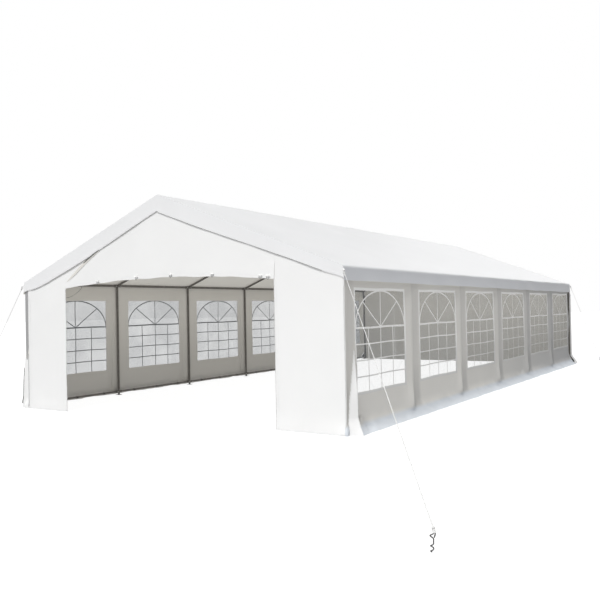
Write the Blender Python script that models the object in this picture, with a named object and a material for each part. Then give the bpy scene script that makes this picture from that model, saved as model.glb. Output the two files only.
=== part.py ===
"""Marquee tent: seven steel frames joined by long poles, under a fabric cover with walls and guy ropes.

X runs across the tent, Y along its ridge with the open front at -Y, and Z up from level ground.
"""

import math

import bmesh
import bpy
from mathutils import Matrix, Vector

# Driving dimensions, in metres
SPAN = 6.0  # between post centres, across
BAY = 2.0  # between frames, along the ridge
BAYS = 6
EAVE_HEIGHT = 2.05  # centre of the eave poles
RIDGE_HEIGHT = 3.205  # centre of the ridge pole
DOOR_WIDTH = 4.0

FIT_GAP = 0.0003  # between pieces that touch
SEAT_GAP = 0.0005  # between a frame sleeve and the fabric it carries

# Steel tubes and fittings
POLE_RADIUS = 0.019
SLEEVE_RADIUS = 0.024
SLEEVE_REACH = 0.08  # of a sleeve along the pole in it, from the frame's plane
TUBE_SIDES = 12
TUBE_TWIST = math.radians(7)  # keeps a tube's flats from lining up with those of a sleeve
RAIL_HEIGHT = 0.06  # centre of the ground rails
FOOT_SIDE = 0.09
FOOT_THICK = 0.005
FOOT_OVERLAP = 0.002  # of the post's end in its foot plate
TUBE_STOP = 0.01  # short of a pole's centre, inside the sleeve
RAFTER_STOP = TUBE_STOP / (SPAN / 2)  # the same, as a share of the rafter's run

# Fabric
SHEET = 0.004
COVER_DROP = 0.2  # of the cover's hanging edge below the eave
GABLE_DROP = 0.235  # of the cover's gable edge below the ridge
WALL_TOP = 2.058
SKIRT_FOLD = 0.14  # height at which the wall's foot spreads outwards
SKIRT_REACH = 0.165
HEADER_SIDE = 1.945  # height of the doorway at its sides
HEADER_RISE = 0.093  # extra height at the doorway's middle
HEADER_STEPS = 10
PANEL_CLEARANCE = 0.003  # under the cover's slopes

# Windows in the side walls
WINDOW_WIDTH = 1.46
WINDOW_SILL = 0.48
WINDOW_HEAD = 1.80
WINDOW_LAP = 0.02
CLEAR_SHEET = 0.002

# Guy ropes and corkscrew stakes
TAB_HEIGHT = 2.0
TAB_RADIUS = 0.03
TAB_THICK = 0.004
TAB_OVERLAP = 0.002
ROPE_RADIUS = 0.0025
ROPE_SIDES = 8
KNOT_RADIUS = 0.008
STAKE_RADIUS = 0.0033
STAKE_TOP = 0.131
NECK_HEIGHT = 0.092  # where the handle starts
HANDLE_CORNER = (-0.021, 0.109)
HANDLE_TIP_OFFSET = 0.012
HELIX_RADIUS = 0.0095
HELIX_TOP = 0.062
HELIX_TURNS = 1.75
HELIX_STEPS = 12  # points in each turn
HANDLE_TURN = math.radians(32.5)  # of the handle's plane from the X axis

# Where each stake stands, outwards from the tent's corner, across and along
STAKE_OFFSETS = {
    "front_right": (2.50, 3.40),
    "front_left": (1.45, 0.0),
    "rear_right": (0.70, 0.0),
    "rear_left": (2.50, 3.40),
}

HALF_SPAN = SPAN / 2
HALF_LENGTH = BAY * BAYS / 2
HALF_DOOR = DOOR_WIDTH / 2
SLOPE = math.atan2(RIDGE_HEIGHT - EAVE_HEIGHT, HALF_SPAN)

# Distances outwards from the posts' centre planes, and upwards from the rafters' centre lines
PANEL_INNER = SLEEVE_RADIUS + SEAT_GAP
PANEL_OUTER = PANEL_INNER + SHEET
COVER_INNER = PANEL_OUTER + FIT_GAP
COVER_OUTER = COVER_INNER + SHEET
SLOPE_INNER = SLEEVE_RADIUS + SEAT_GAP
SLOPE_OUTER = SLOPE_INNER + SHEET


def clear_scene():
    for obj in list(bpy.data.objects):
        bpy.data.objects.remove(obj, do_unlink=True)


def make_material(name, colour, roughness, metallic=0.0, alpha=1.0):
    material = bpy.data.materials.new(name)
    material.use_nodes = True
    shader = material.node_tree.nodes["Principled BSDF"]
    shader.inputs["Base Color"].default_value = (*colour, 1.0)
    shader.inputs["Roughness"].default_value = roughness
    shader.inputs["Metallic"].default_value = metallic
    shader.inputs["Alpha"].default_value = alpha
    return material


def place(name, mesh, material=None, location=(0, 0, 0), turn=0.0):
    """A named object of the mesh, turned about Z and moved to its place."""
    obj = bpy.data.objects.new(name, mesh)
    bpy.context.scene.collection.objects.link(obj)
    if material and not mesh.materials:
        mesh.materials.append(material)
    obj.location = location
    obj.rotation_euler = (0, 0, turn)
    return obj


def mesh_from(bm, name):
    bmesh.ops.recalc_face_normals(bm, faces=bm.faces[:])
    mesh = bpy.data.meshes.new(name)
    bm.to_mesh(mesh)
    bm.free()
    return mesh


def smooth(mesh):
    mesh.shade_smooth()
    mesh.set_sharp_from_angle(angle=math.radians(35))
    return mesh


def rod_mesh(name, start, end, radius, sides=TUBE_SIDES, twist=0.0):
    """A closed round rod between two points, with its flats turned by the twist about its own line."""
    start, end = Vector(start), Vector(end)
    run = end - start
    turn = run.to_track_quat("Z", "Y").to_matrix().to_4x4() @ Matrix.Rotation(twist, 4, "Z")
    bm = bmesh.new()
    bmesh.ops.create_cone(
        bm,
        cap_ends=True,
        segments=sides,
        radius1=radius,
        radius2=radius,
        depth=run.length,
        matrix=Matrix.Translation((start + end) / 2) @ turn,
    )
    return mesh_from(bm, name)


def ball_mesh(name, centre, radius):
    bm = bmesh.new()
    bmesh.ops.create_icosphere(bm, subdivisions=2, radius=radius, matrix=Matrix.Translation(centre))
    return mesh_from(bm, name)


def prism_mesh(name, outline, low_y, high_y):
    """The outline, a list of (x, z), carried from low_y to high_y."""
    bm = bmesh.new()
    face = bm.faces.new([bm.verts.new((x, low_y, z)) for x, z in outline])
    swept = bmesh.ops.extrude_face_region(bm, geom=[face])["geom"]
    corners = [item for item in swept if isinstance(item, bmesh.types.BMVert)]
    bmesh.ops.translate(bm, verts=corners, vec=(0, high_y - low_y, 0))
    return mesh_from(bm, name)


def block_mesh(name, low, high):
    outline = [(low[0], low[2]), (high[0], low[2]), (high[0], high[2]), (low[0], high[2])]
    return prism_mesh(name, outline, low[1], high[1])


def fused(name, base, pieces=(), cutters=()):
    """One mesh: the base with the pieces joined to it and the cutters taken away."""
    helpers = [place(mesh.name, mesh) for mesh in (base, *pieces, *cutters)]
    whole = helpers[0]
    for index, helper in enumerate(helpers[1:]):
        boolean = whole.modifiers.new(helper.name, "BOOLEAN")
        boolean.operation = "UNION" if index < len(pieces) else "DIFFERENCE"
        boolean.solver = "EXACT"
        boolean.object = helper
    graph = bpy.context.evaluated_depsgraph_get()
    mesh = bpy.data.meshes.new_from_object(whole.evaluated_get(graph))
    mesh.name = name
    for helper in helpers:
        bpy.data.objects.remove(helper, do_unlink=True)
    return mesh


def mirrored(outline, side):
    """The outline as it is on the right, or turned over to the left where side is -1."""
    return [(side * x, z) for x, z in outline]


def slope_height(x, offset=0.0):
    """Height at x of the rafters' centre line, or of a line the offset above it, square to the slope."""
    return RIDGE_HEIGHT - abs(x) * math.tan(SLOPE) + offset / math.cos(SLOPE)


# Steel frame


def pole_places():
    """Name and (x, z) centre of each pole that runs the tent's full length."""
    places = {"ridge_pole": (0.0, RIDGE_HEIGHT)}
    for side, sign in (("left", -1), ("right", 1)):
        places[f"{side}_eave_pole"] = (sign * HALF_SPAN, EAVE_HEIGHT)
        places[f"{side}_purlin"] = (sign * HALF_SPAN / 2, slope_height(HALF_SPAN / 2))
        places[f"{side}_ground_rail"] = (sign * HALF_SPAN, RAIL_HEIGHT)
    return places


def sleeve_meshes(places, reach_back):
    """For each (x, z), a sleeve round the pole that crosses there, and the bore that the pole needs in it.

    The sleeves reach back from the frame's plane by reach_back, and forward by SLEEVE_REACH.
    """
    sleeves = []
    bores = []
    for x, z in places:
        sleeves.append(rod_mesh("sleeve", (x, -reach_back, z), (x, SLEEVE_REACH, z), SLEEVE_RADIUS))
        bores.append(rod_mesh("bore", (x, -BAY, z), (x, BAY, z), POLE_RADIUS + FIT_GAP))
    return sleeves, bores


def post_mesh(name, reach_back):
    """A post on its foot plate, with a sleeve for the ground rail and one for the eave pole on its top."""
    foot_end = (0, 0, FOOT_THICK - FOOT_OVERLAP)
    post = rod_mesh("post", foot_end, (0, 0, EAVE_HEIGHT - TUBE_STOP), POLE_RADIUS, twist=TUBE_TWIST)
    low = (-FOOT_SIDE / 2, -min(reach_back, FOOT_SIDE / 2), 0)
    foot = block_mesh("foot_plate", low, (FOOT_SIDE / 2, FOOT_SIDE / 2, FOOT_THICK))
    sleeves, bores = sleeve_meshes([(0, RAIL_HEIGHT), (0, EAVE_HEIGHT)], reach_back)
    return smooth(fused(name, post, [foot, *sleeves], bores))


def rafter_pair_mesh(name, reach_back):
    """Two rafters meeting at the ridge sleeve, with purlin sleeves and ends shaped to the eave sleeves."""
    rafters = []
    clearances = []
    for x in (-HALF_SPAN, HALF_SPAN):
        ridge_x = RAFTER_STOP * x
        ends = [(x, 0, EAVE_HEIGHT), (ridge_x, 0, slope_height(ridge_x))]
        rafters.append(rod_mesh("rafter", *ends, POLE_RADIUS, twist=TUBE_TWIST))
        eave_line = [(x, y, EAVE_HEIGHT) for y in (-BAY, BAY)]
        clearances.append(rod_mesh("eave_clearance", *eave_line, SLEEVE_RADIUS + FIT_GAP))
    crossings = [centre for pole, centre in pole_places().items() if pole.endswith(("ridge_pole", "purlin"))]
    sleeves, bores = sleeve_meshes(crossings, reach_back)
    return smooth(fused(name, rafters[0], [rafters[1], *sleeves], bores + clearances))


def add_frame(steel):
    meshes = {}
    for kind, reach_back in (("middle", SLEEVE_REACH), ("end", SLEEVE_RADIUS)):
        rafters = rafter_pair_mesh(f"{kind}_rafters", reach_back)
        meshes[kind] = (post_mesh(f"{kind}_post", reach_back), rafters)
    for index in range(BAYS + 1):
        post, rafters = meshes["end" if index in (0, BAYS) else "middle"]
        turn = math.pi if index == BAYS else 0.0
        y = index * BAY - HALF_LENGTH
        place(f"rafter_pair_{index + 1}", rafters, steel, (0, y, 0), turn)
        for side_name, side in (("left", -1), ("right", 1)):
            place(f"{side_name}_post_{index + 1}", post, steel, (side * HALF_SPAN, y, 0), turn)
    reach = HALF_LENGTH + SLEEVE_RADIUS
    for name, (x, z) in pole_places().items():
        place(name, smooth(rod_mesh(name, (x, -reach, z), (x, reach, z), POLE_RADIUS)), steel)


# Fabric


def tab_mesh(across, along):
    """A round tab for a guy rope, on the cover's corner."""
    out = (TAB_RADIUS - TAB_OVERLAP) / math.sqrt(2)
    x = across * (HALF_SPAN + COVER_OUTER + out)
    y = along * (HALF_LENGTH + COVER_OUTER + out)
    low, high = TAB_HEIGHT - TAB_THICK / 2, TAB_HEIGHT + TAB_THICK / 2
    return rod_mesh("guy_tab", (x, y, low), (x, y, high), TAB_RADIUS)


def add_cover(fabric):
    """The roof sheet, with hanging edges on all four sides and a tab for a guy rope at each corner."""
    half_width = HALF_SPAN + COVER_OUTER
    half_hollow = HALF_SPAN + COVER_INNER
    reach = HALF_LENGTH + COVER_OUTER
    eave = slope_height(half_width, SLOPE_OUTER)
    low = eave - COVER_DROP
    house = [
        (-half_width, low),
        (half_width, low),
        (half_width, eave),
        (0, slope_height(0, SLOPE_OUTER)),
        (-half_width, eave),
    ]
    hollow_eave = slope_height(half_hollow, SLOPE_INNER)
    hollow = [
        (-half_hollow, 0),
        (half_hollow, 0),
        (half_hollow, hollow_eave),
        (0, slope_height(0, SLOPE_INNER)),
        (-half_hollow, hollow_eave),
    ]
    gable_top = slope_height(0, SLOPE_OUTER) - GABLE_DROP
    fall = (gable_top - low) / (half_hollow - SHEET)
    gable = [(-SPAN, gable_top - fall * SPAN), (SPAN, gable_top - fall * SPAN), (0, gable_top)]
    tabs = [tab_mesh(across, along) for across in (-1, 1) for along in (-1, 1)]
    cutters = [
        prism_mesh("hollow", hollow, -HALF_LENGTH - COVER_INNER, HALF_LENGTH + COVER_INNER),
        prism_mesh("gable_opening", gable, -HALF_LENGTH - BAY, HALF_LENGTH + BAY),
    ]
    shell = fused("cover_shell", prism_mesh("house", house, -reach, reach), (), cutters)
    place("roof_cover", fused("roof_cover", shell, tabs), fabric)


def bay_middles():
    return [(index + 0.5) * BAY - HALF_LENGTH for index in range(BAYS)]


def add_side_wall(name, side, fabric):
    """A wall the length of the tent, with a hole for each window and a foot that spreads on the ground."""
    inner = HALF_SPAN + PANEL_INNER
    outer = HALF_SPAN + PANEL_OUTER
    toe = outer + SKIRT_REACH
    outline = [
        (inner, WALL_TOP),
        (inner, SKIRT_FOLD),
        (toe - SHEET, 0),
        (toe, 0),
        (outer, SKIRT_FOLD),
        (outer, WALL_TOP),
    ]
    reach = HALF_LENGTH + PANEL_INNER - FIT_GAP
    holes = []
    for middle in bay_middles():
        low = (side * HALF_SPAN - BAY / 4, middle - WINDOW_WIDTH / 2, WINDOW_SILL)
        high = (side * HALF_SPAN + BAY / 4, middle + WINDOW_WIDTH / 2, WINDOW_HEAD)
        holes.append(block_mesh("window_hole", low, high))
    wall = prism_mesh("wall_sheet", mirrored(outline, side), -reach, reach)
    place(name, fused(name, wall, (), holes), fabric)


def add_windows(side_name, side, clear):
    """A sheet of clear plastic over each window hole, lapped on the wall's inner face."""
    near = side * (HALF_SPAN + PANEL_INNER - FIT_GAP)
    far = near - side * CLEAR_SHEET
    half = WINDOW_WIDTH / 2 + WINDOW_LAP
    low = (min(near, far), -half, WINDOW_SILL - WINDOW_LAP)
    high = (max(near, far), half, WINDOW_HEAD + WINDOW_LAP)
    mesh = block_mesh(f"{side_name}_window", low, high)
    for index, middle in enumerate(bay_middles()):
        place(f"{side_name}_window_{index + 1}", mesh, clear, (0, middle, 0))


def header_arc():
    """The doorway's top edge, from left to right, a shallow curve."""
    points = []
    for step in range(HEADER_STEPS + 1):
        share = 2 * step / HEADER_STEPS - 1
        points.append((share * HALF_DOOR, HEADER_SIDE + HEADER_RISE * (1 - share**2)))
    return points


def add_end_wall(end_name, end, fabric, closed):
    """A panel beside each post and a gable above the doorway, which is closed by a door sheet if asked."""

    def sheet(name, outline):
        low, high = sorted(end * (HALF_LENGTH + offset) for offset in (PANEL_INNER, PANEL_OUTER))
        place(name, prism_mesh(name, outline, low, high), fabric)

    def under_cover(x):
        return slope_height(x, SLOPE_INNER) - PANEL_CLEARANCE

    edge = HALF_SPAN + PANEL_OUTER
    jamb = HALF_DOOR + FIT_GAP
    corner = [(jamb, 0), (edge, 0), (edge, under_cover(edge)), (jamb, under_cover(jamb))]
    sheet(f"{end_name}_left_panel", mirrored(corner, -1))
    sheet(f"{end_name}_right_panel", corner)
    shoulder = under_cover(HALF_DOOR)
    top = [(HALF_DOOR, shoulder), (0, under_cover(0)), (-HALF_DOOR, shoulder)]
    sheet(f"{end_name}_gable_panel", header_arc() + top)
    if closed:
        side = HALF_DOOR
        head = [(x, z - FIT_GAP) for x, z in reversed(header_arc())]
        sheet(f"{end_name}_door_panel", [(-side, 0), (side, 0)] + head)


# Guy ropes


def stake_path():
    """The bent rod's centre line from its tip up the helix and neck and round the handle, as (x, y, z)."""
    foot = STAKE_RADIUS
    points = []
    steps = round(HELIX_TURNS * HELIX_STEPS)
    for step in range(steps + 1):
        angle = 2 * math.pi * (step - steps) / HELIX_STEPS
        height = foot + (HELIX_TOP - foot) * step / steps
        points.append((HELIX_RADIUS * (math.cos(angle) - 1), HELIX_RADIUS * math.sin(angle), height))
    points.append((0, 0, (HELIX_TOP + NECK_HEIGHT) / 2))
    points.append((0, 0, NECK_HEIGHT))
    corner_x, corner_z = HANDLE_CORNER
    points.append((corner_x * 0.9, 0, corner_z - STAKE_RADIUS))
    points.append((corner_x, 0, corner_z))
    points.append((corner_x * 0.8, 0, corner_z + STAKE_RADIUS))
    points.append((HANDLE_TIP_OFFSET * 0.6, 0, STAKE_TOP - STAKE_RADIUS))
    points.append((HANDLE_TIP_OFFSET, 0, STAKE_TOP - 2 * STAKE_RADIUS))
    points.append((HANDLE_TIP_OFFSET * 0.8, 0, NECK_HEIGHT + 4 * STAKE_RADIUS))
    points.append((STAKE_RADIUS * 2.4, 0, NECK_HEIGHT + STAKE_RADIUS))
    return points


def stake_curve():
    curve = bpy.data.curves.new("corkscrew_stake", "CURVE")
    curve.dimensions = "3D"
    curve.bevel_depth = STAKE_RADIUS
    curve.bevel_resolution = 1
    curve.use_fill_caps = True
    path = stake_path()
    spline = curve.splines.new("POLY")
    spline.points.add(len(path) - 1)
    for point, place_of_point in zip(spline.points, path):
        point.co = (*place_of_point, 1)
    return curve


def add_guys(rope, steel):
    """A rope from each corner tab of the cover down to a corkscrew stake."""
    curve = stake_curve()
    curve.materials.append(steel)
    tab_out = COVER_OUTER + (TAB_RADIUS - TAB_OVERLAP) / math.sqrt(2)
    knot_drop = TAB_THICK / 2 + FIT_GAP + KNOT_RADIUS
    for name, (across, along) in STAKE_OFFSETS.items():
        end = -1 if name.startswith("front") else 1
        side = -1 if name.endswith("left") else 1
        foot_x = side * (HALF_SPAN + COVER_OUTER + across)
        foot = Vector((foot_x, end * (HALF_LENGTH + COVER_OUTER + along), 0))
        turn = HANDLE_TURN + (math.pi if end > 0 else 0.0)
        place(f"{name}_stake", curve, None, foot, turn)
        tip = Matrix.Rotation(turn, 3, "Z") @ Vector((HANDLE_TIP_OFFSET * 0.6, 0, STAKE_TOP))
        low_knot = foot + tip + Vector((0, 0, FIT_GAP + KNOT_RADIUS))
        tab = Vector((side * (HALF_SPAN + tab_out), end * (HALF_LENGTH + tab_out), TAB_HEIGHT))
        high_knot = tab - Vector((0, 0, knot_drop))
        knots = [ball_mesh("knot", centre, KNOT_RADIUS) for centre in (high_knot, low_knot)]
        line = rod_mesh("line", high_knot, low_knot, ROPE_RADIUS, ROPE_SIDES)
        place(f"{name}_guy_rope", smooth(fused(f"{name}_guy_rope", line, knots)), rope)


def main():
    clear_scene()
    steel = make_material("powder_coated_steel", (0.07, 0.065, 0.06), 0.45, 0.6)
    cover_fabric = make_material("white_cover_fabric", (0.88, 0.88, 0.89), 0.5)
    wall_fabric = make_material("white_wall_fabric", (0.84, 0.84, 0.82), 0.5)
    clear = make_material("clear_window_plastic", (0.80, 0.83, 0.86), 0.15, alpha=0.35)
    rope = make_material("white_rope", (0.85, 0.85, 0.84), 0.8)
    stake_steel = make_material("dark_stake_steel", (0.10, 0.10, 0.10), 0.4, 0.8)
    add_frame(steel)
    add_cover(cover_fabric)
    for name, side in (("left", -1), ("right", 1)):
        add_side_wall(f"{name}_side_wall", side, wall_fabric)
        add_windows(name, side, clear)
    add_end_wall("front", -1, wall_fabric, closed=False)
    add_end_wall("rear", 1, wall_fabric, closed=True)
    add_guys(rope, stake_steel)


main()
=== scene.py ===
"""Dresses a marquee tent's steel frame with its cloth, clear windows, guy ropes and stakes.

X runs across the tent, Y along its ridge with the open front at -Y, and Z up from the ground, in metres.
"""

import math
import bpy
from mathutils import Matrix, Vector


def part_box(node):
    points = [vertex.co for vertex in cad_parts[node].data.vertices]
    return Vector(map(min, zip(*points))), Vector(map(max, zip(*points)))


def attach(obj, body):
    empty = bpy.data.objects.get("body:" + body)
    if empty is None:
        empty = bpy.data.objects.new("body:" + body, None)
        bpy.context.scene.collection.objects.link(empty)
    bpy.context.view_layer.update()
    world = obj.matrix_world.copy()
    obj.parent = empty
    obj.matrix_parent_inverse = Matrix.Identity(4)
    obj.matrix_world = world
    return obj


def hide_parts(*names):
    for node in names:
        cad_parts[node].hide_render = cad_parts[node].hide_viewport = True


bl_info = {
    "name": "Marquee Tent",
    "version": (1, 0, 0),
    "blender": (4, 5, 0),
    "location": "View3D > Sidebar > Tent",
    "description": "Builds the cloth, windows, ropes and stakes of a marquee tent on its steel frame",
    "category": "Add Mesh",
}

import bmesh
import bpy
import numpy as np
from bpy.props import FloatProperty, FloatVectorProperty, IntProperty, PointerProperty
from mathutils import Matrix, Vector

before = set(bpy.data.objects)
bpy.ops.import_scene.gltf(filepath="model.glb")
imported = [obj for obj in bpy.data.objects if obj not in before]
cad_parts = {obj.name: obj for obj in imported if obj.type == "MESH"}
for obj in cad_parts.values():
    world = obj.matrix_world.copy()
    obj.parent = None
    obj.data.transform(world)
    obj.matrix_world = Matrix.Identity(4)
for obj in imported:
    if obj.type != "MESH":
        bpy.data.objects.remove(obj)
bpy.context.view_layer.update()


def middle_of(node):
    low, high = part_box(node)
    return (low + high) / 2


# Places taken from the steel frame
HALF_SPAN = middle_of("right_eave_pole").x
EAVE_HEIGHT = middle_of("right_eave_pole").z
RIDGE_HEIGHT = middle_of("ridge_pole").z
BAY = middle_of("right_window_2").y - middle_of("right_window_1").y
BAYS = 6
HALF_LENGTH = BAY * BAYS / 2
SLOPE = math.atan2(RIDGE_HEIGHT - EAVE_HEIGHT, HALF_SPAN)
FRAME_LINES = [index * BAY - HALF_LENGTH for index in range(BAYS + 1)]
WINDOW_MIDDLES = [(index + 0.5) * BAY - HALF_LENGTH for index in range(BAYS)]
SIDES = {"left": -1, "right": 1}
ENDS = {"front": -1, "rear": 1}
CORNERS = [(side, end) for side in SIDES.values() for end in ENDS.values()]

# How far the cloth's outer faces stand out from the centres of the tubes that carry them
WALL_OUT = 0.0285
COVER_OUT = 0.0328
ROOF_OUT = 0.0285

# The cover's cross-section
COVER_EDGE = HALF_SPAN + COVER_OUT
ROOF_TOP = RIDGE_HEIGHT + ROOF_OUT / math.cos(SLOPE)
RIDGE_POINTS = (0.0, 0.006, 0.014, 0.03)  # distances from the ridge where the cover bends over it
RIDGE_ROUND = 0.008
EAVE_ROUND = 0.045
VALANCE_BOTTOM = 1.885
VALANCE_FALL = 0.035  # lower at the rear than at the front
GABLE_DROP = 0.238

# The webbing loop and the ring at each corner of the cover
TAB_WIDTH = 0.022
TAB_LOOP = (  # (distance from the post's centre, height)
    *((0.034, 2.030), (0.050, 2.024), (0.066, 2.013), (0.071, 2.004)),
    *((0.066, 1.995), (0.050, 1.984), (0.036, 1.978)),
)
RING_RADIUS = 0.011
RING_ROD = 0.002
RING_OUT = 0.073  # from the post's centre
RING_HEIGHT = 1.999

# The side walls, along their cloth and down it
WALL_TOP = 2.058
REAR_GAP = 0.045  # from a rear post to the wall's edge
POST_TURN = WALL_OUT * math.pi / 2  # of the cloth round a front post
WALL_TUCK = 0.07  # of the cloth past that turn, behind the front panel
WALL_FRONT = -HALF_LENGTH - POST_TURN
WALL_REAR = HALF_LENGTH - REAR_GAP
FOOT_TURN = 0.22  # height where the wall starts to spread
FOOT_SPREAD = 0.165
FOOT_LENGTH = 0.30  # of the spread part, along the cloth
FOOT_START = WALL_TOP - FOOT_TURN  # how far down the cloth it starts
FOOT_END = FOOT_START + FOOT_LENGTH

# The fold over each post: places behind the fold's crest, and how far the wall stands out there, high and low
FOLD_PLACES = (-0.26, -0.12, -0.03, 0.0, 0.03, 0.10, 0.17, 0.24)
FOLD_HIGH = (0.0, 0.010, 0.026, 0.030, 0.024, 0.003, 0.0, 0.0)
FOLD_LOW = (0.0, 0.018, 0.042, 0.048, 0.034, 0.004, -0.003, 0.0)
FOLD_AHEAD = (0.11, 0.135)  # of the crest in front of its post, in turn

# The pleat beside the front corner of the left (-1) and the right (1) side wall. Each row is a height, where
# the pleat starts and where its crest lies, as lengths from the corner post, and how far the crest stands out
PLEATS = {
    1: (
        (0.0, 0.002, 0.086, 0.172),
        (0.09, 0.010, 0.105, 0.127),
        (0.20, 0.025, 0.125, 0.086),
        (0.42, 0.053, 0.140, 0.080),
        (0.54, 0.086, 0.150, 0.072),
        (0.95, 0.182, 0.205, 0.015),
        (1.15, 0.230, 0.250, 0.0),
    ),
    -1: (
        (0.0, 0.002, 0.045, 0.166),
        (0.20, 0.002, 0.045, 0.154),
        (0.42, 0.002, 0.040, 0.138),
        (0.54, 0.002, 0.036, 0.120),
        (0.77, 0.002, 0.030, 0.086),
        (0.95, 0.002, 0.030, 0.045),
        (1.50, 0.002, 0.030, 0.012),
        (1.86, 0.002, 0.030, 0.0),
    ),
}
FLAP_TOP = {1: 1.0, -1: 0.80}  # height up to which a pleat's forward faces get the end walls' brighter cloth, as painted light

# Doorway
HALF_DOOR = 2.0
HEADER_SIDE = 1.945
HEADER_RISE = 0.093
HEM_FOOT = 0.020  # height of the end walls' lowest hems
PANEL_EDGE = 0.0275  # how far a corner panel goes past its post's centre
LAPPED_EDGE = 0.065  # how far the front left one stops before it
PANEL_BEHIND = 0.70  # how far the front left panel goes up behind the gable, to the middle
DOORWAY_TIE = ((-1.93, 1.808), (-1.80, 1.851), (-1.66, 1.930), (-1.655, 1.985))  # (x, z) along its cord
GABLE_LAP = (  # (x, z) along the gable panel's lapped border, where a grey strip lies as painted shade
    (-1.965, 2.047),
    (-1.788, 2.163),
    (-1.613, 2.281),
    (-1.469, 2.367),
    (-1.338, 2.437),
    (-1.207, 2.499),
)
TOGGLES = (-1.25, -0.43, 0.24, 1.0, 1.80, 1.92)  # where they hang along the header
TOGGLE_HALF = 0.034  # half a toggle's length
TOGGLE_RADIUS = 0.008

# Windows
WINDOW_WIDTH = 1.46
WINDOW_LAP = 0.02  # of the clear sheet behind the wall
WINDOW_SILL = 0.48
WINDOW_HEAD = 1.80
SPRING_LINE = 1.292
ARCH_TOP = 1.768
WINDOW_ROWS = 4
WINDOW_COLUMNS = 4
CLEAR_THICKNESS = 0.0006
CLEAR_BEHIND = 0.0022  # how far the clear sheet lies behind the wall's outer face
BORDER_BEHIND = 0.0036  # how far the inner border lies behind it
BAR_THICKNESS = 0.0011
ARCH_LIFT = 0.0018  # of the arched bar in front of it
CROSSING_LIFT = 0.0002  # of a band over the one that it crosses
BORDER_TOP = WINDOW_HEAD + 0.024  # of the inner border, which goes up past the window

# Guy ropes and stakes
KNOT_RADIUS = 0.008
ROPE_OUT = COVER_OUT + 0.0198  # from a corner post's centre to the rope's upper knot, along X and along Y
ROPE_TOP = 1.982
HITCH = (0.012, 0.022, 3.5)  # from the knot to the hitch's first turn, its length, and its number of turns
STAKE_ROD = 0.0042
STAKE_TURN = 32.5  # degrees about its own upright
STAKE_SCREW = (1.75, 0.0095, 0.062)  # turns, radius and height of the screw
STAKE_HANDLE = (  # (x, z) along the bent rod above the screw
    *((0, 0.066), (0, 0.078), (0, 0.090), (-0.010, 0.099), (-0.0205, 0.107), (-0.0190, 0.1120)),
    *((-0.004, 0.1185), (0.0085, 0.1265), (0.0125, 0.1240), (0.0105, 0.1140), (0.0055, 0.0965)),
)

# Cloth, tapes and ties
TIE_SPACING = 0.62  # between the cords that hold a wall to its ground rail
WEAVE = 0.0022  # from one tape of the cloth's weave to the next
TAPE_LIFT = 0.0014  # of a hem or tape off the cloth that it is sewn to
TAPE_THICKNESS = 0.0012

# Frame
LONG_POLES = ("ridge_pole", "left_eave_pole", "right_eave_pole", "left_purlin", "right_purlin")
CAP_GAP = 0.0002  # between a pole's end and its cap
BOLT_OFFSET = 0.055  # from a frame's middle to the screws of its sleeves
TUBE_TO_BOLT = 0.024

# Painted shade and painted sky light on the cloth, and the colour of its painted glow
FOOT_SKY_TINT = (0.715, 0.76, 0.815)
FOLD_SHADE = (0.25, 0.25, 0.27)
SHADE_UNDER_COVER = (0.4, 0.39, 0.37)
EAVE_SHADE = (0.73, 0.745, 0.775)
REAR_SHADE = (0.60, 0.60, 0.605)
DAYLIGHT = (1.0, 0.98, 0.93, 1)

# The photograph's viewpoint
CAMERA_PLACE = (7.3216, -13.7241, 1.5444)
CAMERA_TURN = (0.5692, 0.0127, -0.0197)  # yaw, pitch and roll
CAMERA_LENS = 727.15 / 600  # in picture widths
FILM_WIDTH = 36.0

# The light: the directions that it comes from, and the place on the floor that gives most
KEY_FROM = (0.03, -0.46, 0.887)
BACK_FROM = (0.0, 0.995, 0.07)
SKY_FROM = (-0.18, -0.42, 0.89)
GLOW_PLACE = (7.5, -5.5, 0.0)
FLOOR_SEEN = 0.92  # how bright the floor looks
FLOOR_REACH = 120.0


# Settings


def length_setting(name, description, default, **limits):
    return FloatProperty(name=name, description=description, default=default, unit="LENGTH", **limits)


def colour_setting(name, description, default):
    return FloatVectorProperty(
        name=name, description=description, default=default, subtype="COLOR", min=0, max=1
    )


def strength_setting(name, description, default):
    return FloatProperty(name=name, description=description, default=default, min=0)


class TentClothSettings(bpy.types.PropertyGroup):
    thickness: length_setting("Cloth Thickness", "Thickness of the coated cloth", 0.0016)
    mesh_step: length_setting("Mesh Step", "Size of the cloth's cells", 0.06, min=0.03)
    roof_sag: length_setting("Roof Sag", "Depth of the roof between two frames", 0.022)
    edge_flare: length_setting("Edge Flare", "How far the eaves' hanging edges stand off", 0.014)
    gable_flare: length_setting("Gable Flare", "How far the gables' hanging edges stand off", 0.005)
    slack: length_setting("Wall Slack", "How far the wall hangs in between two posts", 0.025)
    foot_waves: length_setting("Foot Waves", "Height of the waves in the spread foot", 0.022)
    hem_width: length_setting("Hem Width", "Width of the hems", 0.03)


class TentWindowSettings(bpy.types.PropertyGroup):
    border: length_setting("Border", "Width of the band round a window", 0.034)
    arch_bar: length_setting("Arch Bar", "Width of the arched bar", 0.020)
    cross_bar: length_setting("Cross Bar", "Width of the bar under the arch", 0.024)
    thin_bar: length_setting("Thin Bar", "Width of the pane bars and spokes", 0.016)


class TentRopeSettings(bpy.types.PropertyGroup):
    radius: length_setting("Rope Radius", "Radius of a guy rope", 0.0038)
    stake_segments: IntProperty(
        name="Stake Segments", description="Points in each turn of a stake's screw", default=32, min=12
    )


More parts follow.
